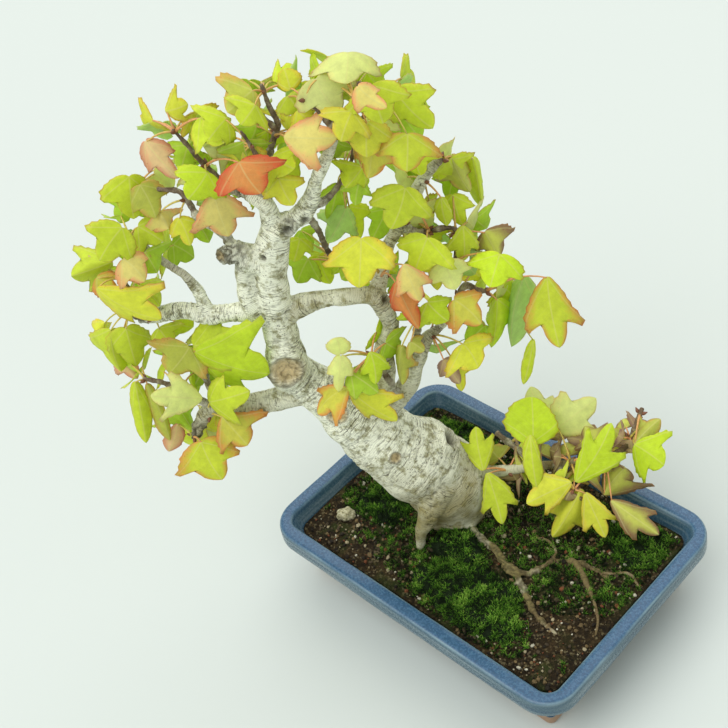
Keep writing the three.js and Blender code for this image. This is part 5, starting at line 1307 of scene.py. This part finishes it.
class MAPLE_OT_pot(bpy.types.Operator):
    """Throws the pot: wall, lip, floor with drain holes and four feet"""
    bl_idname = "maple.pot"
    bl_label = "Pot"

    def execute(self, context):
        settings = context.scene.maple_pot
        pot = loft("pot_body", [place(rounded_rectangle(*row)) for row in POT_PROFILE])
        apply_modifier(pot, "SUBSURF", levels=2)
        for sx in (-1, 1):
            for sy in (-1, 1):
                rings = [place(rounded_rectangle(FOOT_HALF_SIDE * part, FOOT_HALF_SIDE * part, 3, z, 6, 3)
                               + (sx * FOOT_CENTRE[0], sy * FOOT_CENTRE[1], 0))
                         for part, z in ((0.88, 0), (1, 0.9), (1.0, 3.5), (1.02, FOOT_HEIGHT + 1.4))]
                self.combine(pot, "UNION", loft("pot_foot", rings))
            bpy.ops.mesh.primitive_cylinder_add(vertices=40, radius=DRAIN_HOLE_RADIUS * MM, depth=20 * MM,
                                                location=place((sx * DRAIN_HOLE_X, 0, 6)))
            self.combine(pot, "DIFFERENCE", bpy.context.object)
        co = coordinates(pot) / MM - POT_MIDDLE
        bumps = (waves(co, 26, 21) + 0.4 * waves(co, 6, 22)) * settings.unevenness / MM
        set_coordinates(pot, place(co + normals(pot) * bumps[:, None]))
        only(pot)
        bpy.ops.object.shade_smooth_by_angle(angle=math.radians(40))
        pot.data.materials.clear()
        pot.data.materials.append(self.glaze(settings))
        keep(freeze(pot, "pot_glazed"), "glazed_clay", "pot")
        return {"FINISHED"}

    def combine(self, pot, operation, tool):
        apply_modifier(pot, "BOOLEAN", operation=operation, solver="EXACT", object=tool)
        bpy.data.objects.remove(tool)

    def glaze(self, settings):
        """Cobalt glaze over stoneware: glossy, speckled, thin and pale where it has run off edges."""
        material, node, shader = new_material("glaze_cobalt_on_stoneware", 0.24)
        here = node("TexCoord", {}, "Object")
        height = node("SeparateXYZ", {0: here}, "Z")
        up = node("SeparateXYZ", {0: node("NewGeometry", {}, "Normal")}, "Z")
        # Speckles of half a millimetre where the glaze has broken.
        speckle = node("TexNoise", {"Scale": 950, "Detail": 3, "Roughness": 0.7, "Vector": here})
        cloud = node("TexNoise", {"Scale": 60, "Detail": 4, "Vector": here})
        blues = ((0.25, linear("#22405c")), (0.48, settings.glaze), (0.66, linear("#38607f")),
                 (0.82, linear("#6f8a9b")))
        speckled = node("ValToRGB", {"stops": blues, 0: speckle})
        # Streaks along the outer band, a few centimetres long and under a millimetre high.
        streak_place = node("Mapping", {"Scale": (30, 30, 700), "Vector": here})
        streak = node("TexNoise", {"Scale": 1, "Detail": 3, "Vector": streak_place})
        greys = ((0.35, linear("#355266")), (0.5, settings.glaze_band), (0.68, linear("#6d7f88")))
        band = node("ValToRGB", {"stops": greys, 0: streak})
        side = node("MapRange", {"From Min": 0.75, "From Max": 0.35, "Value": up})
        outside = node("Mix", {"data_type": "RGBA", 0: side, 6: speckled, 7: band}, 2)
        # The outer edge of the rim, where the glaze is thin.
        edge_up = node("MapRange", {"From Min": 0.25, "From Max": 0.62, "Value": up})
        edge_down = node("MapRange", {"From Min": 0.97, "From Max": 0.8, "Value": up})
        edge = node("Math", {"operation": "MULTIPLY", 0: edge_up, 1: edge_down})
        high = node("MapRange", {"From Min": 0.0325, "From Max": 0.0332, "Value": height})
        worn = node("Math", {"operation": "MULTIPLY", 0: edge, 1: high})
        broken = node("MapRange", {"From Min": 0.35, "From Max": 0.62, "To Min": 0.25, "Value": cloud})
        worn_factor = node("Math", {"operation": "MULTIPLY", 0: worn, 1: broken})
        edged = node("Mix", {"data_type": "RGBA", 0: worn_factor, 6: outside, 7: settings.glaze_thin}, 2)
        # Bare clay below the glaze line, which wavers.
        line = node("Math", {"operation": "MULTIPLY_ADD", 0: cloud, 1: 0.003, 2: height})
        bare = node("MapRange", {"From Min": 0.0072, "From Max": 0.0066, "Value": line})
        clay = node("Mix", {"data_type": "RGBA", 0: speckle, 6: linear("#8c7059"), 7: settings.clay}, 2)
        final = node("Mix", {"data_type": "RGBA", 0: bare, 6: edged, 7: clay}, 2)
        gloss = node("MapRange", {"To Min": 0.2, "To Max": 0.34, "Value": speckle})
        rough = node("Mix", {"data_type": "FLOAT", 0: bare, 2: gloss, 3: 0.8})
        bump = node("Bump", {"Strength": 0.25, "Distance": 0.12 * MM, "Height": speckle})
        set_up(shader, {"Base Color": final, "Roughness": rough, "Normal": bump})
        return material


class MAPLE_OT_soil(bpy.types.Operator):
    """Fills the pot with soil whose crumbs show on top, and scatters loose grains"""
    bl_idname = "maple.soil"
    bl_label = "Soil"

    def execute(self, context):
        settings = context.scene.maple_ground
        walls = ((65, 41.4, 6, SOIL_BOTTOM), (66.3, 42.7, 6, 10), (69.2, 45.6, 6, 21.6), (*SOIL_EDGE, 0))
        *rings, rim = (rounded_rectangle(x - FIT_GAP, y - FIT_GAP, radius, z, 8, 26)
                       for x, y, radius, z in walls)
        for part in np.append(np.linspace(1, 0.02, 60), 0.004):
            ring = rim * (part, part, 1)
            crumbs = waves(ring, 3.1, 31) * 0.7 + np.abs(waves(ring, 1.3, 32)) * 0.8 - 0.25
            ring[:, 2] = soil_height(ring[:, 0], ring[:, 1]) + crumbs * (0.4 if part == 1 else 1)
            rings.append(ring)
        soil = loft("soil_block", [place(ring) for ring in rings])
        soil.data.materials.append(self.earth(settings))
        soil.data.shade_smooth()
        keep(freeze(soil, "soil_gritty"), "soil", "soil")
        self.grains(settings)
        return {"FINISHED"}

    def earth(self, settings):
        """Damp gritty potting soil: dark, matt, with crumbs of one to three millimetres."""
        material, node, shader = new_material("soil_gritty", 0.93, 0.2)
        here = node("TexCoord", {}, "Object")
        crumbs = node("TexVoronoi", {"Scale": 1150, "Vector": here})
        patch = node("TexNoise", {"Scale": 110, "Detail": 5, "Roughness": 0.65, "Vector": here})
        earths = ((0.38, settings.soil_dark), (0.55, linear("#2a200d")), (0.68, settings.soil_brown))
        base = node("ValToRGB", {"stops": earths, 0: patch})
        of_grain = node("SeparateColor", {0: crumbs.node.outputs["Color"]})
        crumb_shades = ((0.0, linear("#120e07")), (0.6, linear("#2b2112")), (0.85, linear("#4e4028")),
                        (0.96, linear("#7d7355")))
        grit = node("ValToRGB", {"stops": crumb_shades, 0: of_grain})
        mixed = node("Mix", {"data_type": "RGBA", 0: 0.5, 6: base, 7: grit}, 2)
        green = node("TexNoise", {"Scale": 70, "Detail": 3, "Vector": here})
        algae = node("MapRange", {"From Min": 0.52, "From Max": 0.64, "To Max": 0.55, "Value": green})
        final = node("Mix", {"data_type": "RGBA", 0: algae, 6: mixed, 7: linear("#2c3a14")}, 2)
        bump = node("Bump", {"Strength": 0.8, "Distance": 0.5 * MM, "Height": crumbs})
        set_up(shader, {"Base Color": final, "Normal": bump})
        return material

    def grains(self, settings):
        """Loose pumice, lava and bark bits of a third to one millimetre, a bent ball each."""
        draw = random.Random(GRAIN_SEED)
        bpy.ops.object.select_all(action="DESELECT")
        bpy.ops.mesh.primitive_ico_sphere_add(subdivisions=1, radius=1)
        blank = bpy.context.object
        shape, sides = coordinates(blank), faces_of(blank)
        bpy.data.objects.remove(blank)
        points, faces, colours = [], [], []
        for i in range(settings.grains):
            x, y = (draw.uniform(-half, half) for half in GRAIN_AREA)
            size = 0.35 + 0.75 * draw.random() ** 2.5
            stretch = [draw.uniform(low, high) for low, high in ((0.75, 1.3), (0.75, 1.3), (0.6, 0.9))]
            turn = (Matrix.Rotation(draw.uniform(0, 6.3), 3, "Z")
                    @ Matrix.Rotation(draw.uniform(-0.6, 0.6), 3, "X"))
            rough = shape * np.array([draw.uniform(0.8, 1.15) for _ in shape])[:, None]
            z = soil_height(x, y) + 0.25 * size + 0.1
            points.append((rough * np.array(stretch) * size) @ np.array(turn).T + (x, y, z))
            faces += [tuple(k + i * len(shape) for k in side) for side in sides]
            tint = draw.choices(*zip(*GRAIN_COLOURS))[0]
            light = draw.uniform(0.75, 1.1)
            colours += [[c * light for c in linear(tint)[:3]] + [1]] * len(shape)
        grit = piece_from("soil_grains", place(np.concatenate(points)), faces)
        set_attribute(grit, "grain", "FLOAT_COLOR", colours)
        material, node, shader = new_material("grit_pumice_and_lava", 0.85, 0.3)
        here = node("TexCoord", {}, "Object")
        tint = node("Attribute", {"attribute_name": "grain"}, "Color")
        dust = node("TexNoise", {"Scale": 1400, "Detail": 2, "Vector": here})
        shade = node("MapRange", {"From Min": 0.3, "From Max": 0.7, "To Min": 0.65, "To Max": 1.1,
                                  "Value": dust})
        final = node("Mix", {"data_type": "RGBA", "blend_type": "MULTIPLY", 0: 1.0, 6: tint, 7: shade}, 2)
        set_up(shader, {"Base Color": final})
        grit.data.materials.append(material)
        keep(grit, "soil")


class MAPLE_OT_moss(bpy.types.Operator):
    """Lays the moss cushions and the scattered moss, tuft by tuft"""
    bl_idname = "maple.moss"
    bl_label = "Moss"

    def execute(self, context):
        settings = context.scene.maple_ground
        finish = self.finish(settings)
        draw = random.Random(MOSS_SEED)
        for name, cushion in MOSS_CUSHIONS.items():
            rings = []
            for part, level in ((1, -1.5), (1, 0.3), *CUSHION_CROWN[-2:0:-1], (0.03, 1)):
                x, y = self.outline(cushion, part, np.linspace(0, 2 * math.pi, 64, endpoint=False))
                lumps = waves(np.column_stack([x, y, 0 * x]), 5, 41) * 0.5
                z = soil_height(x, y) + (level if level < 0.4 else level * cushion["height"] - 0.9 + lumps)
                rings.append(place(np.column_stack([x, y, z])))
            mound = loft("moss_mound", rings)
            spots = []
            for _ in range(round(settings.tufts * math.pi * math.prod(cushion["size"]))):
                angle, part = draw.uniform(0, 2 * math.pi), math.sqrt(draw.random())
                x, y = self.outline(cushion, part, angle)
                level = np.interp(part, *zip(*CUSHION_CROWN)) * cushion["height"]
                lump = waves([(x, y, 0)], 5, 41)[0] * 0.5
                spots.append((x, y, soil_height(x, y) + level - 1.0 + lump, draw.uniform(0.9, 1.6)))
            tufts = self.tufts("moss_tufts", spots, draw)
            # The mound under the tufts takes the darkest moss colour, as painted shade.
            set_attribute(mound, "moss", "FLOAT", np.zeros(len(mound.data.vertices)))
            only(tufts, mound)
            bpy.ops.object.join()
            piece = freeze(tufts, "moss_cushion_" + name)
            piece.data.materials.append(finish)
            keep(piece, "moss", "moss_" + name)
        spots = []
        while len(spots) < settings.scattered:
            x, y = (draw.uniform(-half, half) for half in MOSS_AREA)
            cover = 0.55 * noise.noise((x / 9, y / 9, 3.7)) + 0.5 * noise.noise((x / 3.5, y / 3.5, 9.1))
            for at_x, at_y, reach in MOSS_PATCHES:
                away = ((x - at_x) ** 2 + (y - at_y) ** 2) / (1.3 * reach) ** 2
                cover = max(cover, cover * 0.7 + math.exp(-away))
            if cover >= 0.36:
                spots.append((x, y, soil_height(x, y) + 0.3, draw.uniform(0.7, 1.3)))
        scattered = self.tufts("moss_scattered", spots, draw)
        scattered.data.materials.append(finish)
        keep(scattered, "moss")
        return {"FINISHED"}

    def outline(self, cushion, part, angle):
        """The place of a cushion's lobed outline at an angle, drawn in to a part of its size."""
        (x, y), (reach_x, reach_y) = cushion["at"], cushion["size"]
        wobble = 1 + 0.08 * np.sin(3 * angle + x) + 0.05 * np.cos(5 * angle + y)
        return x + reach_x * part * wobble * np.cos(angle), y + reach_y * part * wobble * np.sin(angle)

    def tufts(self, name, spots, draw):
        """Stars of pointed leaves, each leaf a slim closed spike."""
        points, faces, heights = [], [], []
        spike = ((0, 1, 3), (1, 2, 3), (2, 0, 3), (2, 1, 0))
        for x, y, z, size in spots:
            clump = 0.5 + 1.1 * noise.noise((x / 2.6, y / 2.6, 5.3))
            fresh = min(1, max(0.2, clump + draw.uniform(0, 0.5)))
            z += 1.1 * clump - 0.7
            for _ in range(TUFT_LEAVES):
                turn = draw.uniform(0, 2 * math.pi)
                lean = draw.uniform(0.1, 1.05)
                out = math.sin(lean)
                way = np.array((math.cos(turn) * out, math.sin(turn) * out, math.cos(lean)))
                side = np.array((-math.sin(turn), math.cos(turn), 0)) * 0.2 * size
                other = np.cross(way, side)
                start = len(points)
                root = np.array((x, y, z - 0.3)) + way * 0.2
                points += [root + side, root - side, root + other, root + way * size * draw.uniform(1.2, 2.3)]
                faces += [tuple(i + start for i in face) for face in spike]
                # The foot of each moss leaf is dark with painted shade; its tip is as bright as it is fresh.
                heights += [0.1, 0.1, 0.1, fresh * draw.uniform(0.8, 1.1)]
        piece = piece_from(name, place(points), faces)
        set_attribute(piece, "moss", "FLOAT", heights)
        return piece

    def finish(self, settings):
        """Living moss: soft and matt, dark with painted shade between its tufts, and bright at their tips."""
        material, node, shader = new_material("moss_living", 0.8, 0.2)
        here = node("TexCoord", {}, "Object")
        height = node("Attribute", {"attribute_name": "moss"}, "Fac")
        patch = node("TexNoise", {"Scale": 150, "Detail": 4, "Vector": here})
        shift = node("Math", {"operation": "MULTIPLY_ADD", 0: patch, 1: 1.1, 2: -0.62})
        total = node("Math", {"operation": "ADD", 0: height, 1: shift})
        # The low end of the ramp is painted shade; the top is the fresh tips.
        greens = ((0.25, settings.moss_painted_shade), (0.6, settings.moss_green), (1.0, settings.moss_tip))
        final = node("ValToRGB", {"stops": greens, 0: total})
        set_up(shader, {"Base Color": final})
        return material


class MAPLE_OT_stone(bpy.types.Operator):
    """Sets the small stone on the soil"""
    bl_idname = "maple.stone"
    bl_label = "Stone"

    def execute(self, context):
        settings = context.scene.maple_ground
        x, y = STONE["at"]
        bpy.ops.object.select_all(action="DESELECT")
        bpy.ops.mesh.primitive_ico_sphere_add(subdivisions=5, radius=1)
        stone = bpy.context.object
        co = coordinates(stone) * STONE["size"]
        co *= (1 + 0.3 * waves(co, 2.6, 51) + 0.11 * waves(co, 1.1, 52))[:, None]
        turn = Matrix.Rotation(math.radians(35), 3, "Z") @ Matrix.Rotation(math.radians(12), 3, "Y")
        set_coordinates(stone, place(co @ np.array(turn).T + (x, y, soil_height(x, y) + 1)))
        # Pumice: matt, pale, with darker pores.
        material, node, shader = new_material("stone_weathered_pumice", 0.9, 0.3)
        here = node("TexCoord", {}, "Object")
        grains = node("TexNoise", {"Scale": 900, "Detail": 5, "Roughness": 0.7, "Vector": here})
        buffs = ((0.34, linear("#4b4a2e")), (0.48, settings.stone), (0.66, linear("#ccc8ad")))
        final = node("ValToRGB", {"stops": buffs, 0: grains})
        bump = node("Bump", {"Strength": 0.6, "Distance": 0.3 * MM, "Height": grains})
        set_up(shader, {"Base Color": final, "Normal": bump})
        stone.data.materials.append(material)
        stone.data.shade_smooth()
        keep(freeze(stone, "stone_weathered"), "stone", "stone")
        return {"FINISHED"}


class MAPLE_OT_stage(bpy.types.Operator):
    """Sets the floor, the lamps and the camera"""
    bl_idname = "maple.stage"
    bl_label = "Stage"

    def execute(self, context):
        scene = context.scene
        settings = scene.maple_stage
        bpy.ops.object.select_all(action="DESELECT")
        bpy.ops.mesh.primitive_plane_add(size=8, location=(0, 0, 0))
        floor = freeze(bpy.context.object, "floor")
        material, _, shader = new_material("floor_matt_paper", 0.95, 0.1)
        set_up(shader, {"Base Color": settings.floor})
        floor.data.materials.append(material)
        world = bpy.data.worlds.new("studio")
        world.use_nodes = True
        set_up(world.node_tree.nodes["Background"], {"Color": linear("#f4f8f6"), "Strength": settings.sky})
        scene.world = world
        for name, way, spread, power in (("key", (0.2, 1.0, -1.5), 50, settings.key),
                                         ("back", (0.45, -0.6, -1), 60, settings.back)):
            lamp = bpy.data.lights.new(name, "SUN")
            lamp.angle = math.radians(spread)
            lamp.energy = power
            in_scene(name, lamp).rotation_euler = Vector(way).to_track_quat("-Z", "Y").to_euler()
        camera = bpy.data.cameras.new("camera")
        camera.lens = CAMERA_LENS
        camera.sensor_width = 36
        camera.clip_start = 0.01
        camera.clip_end = 20
        scene.camera = in_scene("camera", camera)
        scene.camera.matrix_world = (Matrix.Translation(place(CAMERA_PLACE))
                                     @ Matrix(CAMERA_AXES).transposed().to_4x4())
        scene.view_settings.view_transform = "Standard"
        return {"FINISHED"}


PANEL_ROWS = (("pot", "pot"), ("soil", "ground"), ("moss", "ground"), ("stone", "ground"), ("wood", "wood"),
              ("leaves", "leaves"), ("stage", "stage"))


class MAPLE_PT_panel(bpy.types.Panel):
    """Lists the pieces of the maple bonsai"""
    bl_idname = "MAPLE_PT_panel"
    bl_label = "Maple bonsai"
    bl_space_type = "VIEW_3D"
    bl_region_type = "UI"
    bl_category = "Maple"

    def draw(self, context):
        for operator, settings in PANEL_ROWS:
            box = self.layout.box()
            box.operator("maple." + operator)
            group = getattr(context.scene, "maple_" + settings)
            for key in group.bl_rna.properties.keys():
                if key not in ("rna_type", "name"):
                    box.prop(group, key)


SETTINGS = {"maple_pot": PotSettings, "maple_wood": WoodSettings, "maple_leaves": LeafSettings,
            "maple_ground": GroundSettings, "maple_stage": StageSettings}
CLASSES = (*SETTINGS.values(), MAPLE_OT_pot, MAPLE_OT_soil, MAPLE_OT_moss, MAPLE_OT_stone, MAPLE_OT_wood,
           MAPLE_OT_leaves, MAPLE_OT_stage, MAPLE_PT_panel)


def register():
    for kind in CLASSES:
        bpy.utils.register_class(kind)
    for name, group in SETTINGS.items():
        setattr(bpy.types.Scene, name, PointerProperty(type=group))


def unregister():
    for name in SETTINGS:
        delattr(bpy.types.Scene, name)
    for kind in reversed(CLASSES):
        bpy.utils.unregister_class(kind)


def main():
    register()
    bpy.ops.object.select_all(action="DESELECT")
    bpy.ops.maple.stage()
    bpy.ops.maple.pot()
    bpy.ops.maple.soil()
    bpy.ops.maple.moss()
    bpy.ops.maple.stone()
    bpy.ops.maple.wood()
    bpy.ops.maple.leaves()


if __name__ == "__main__":
    main()
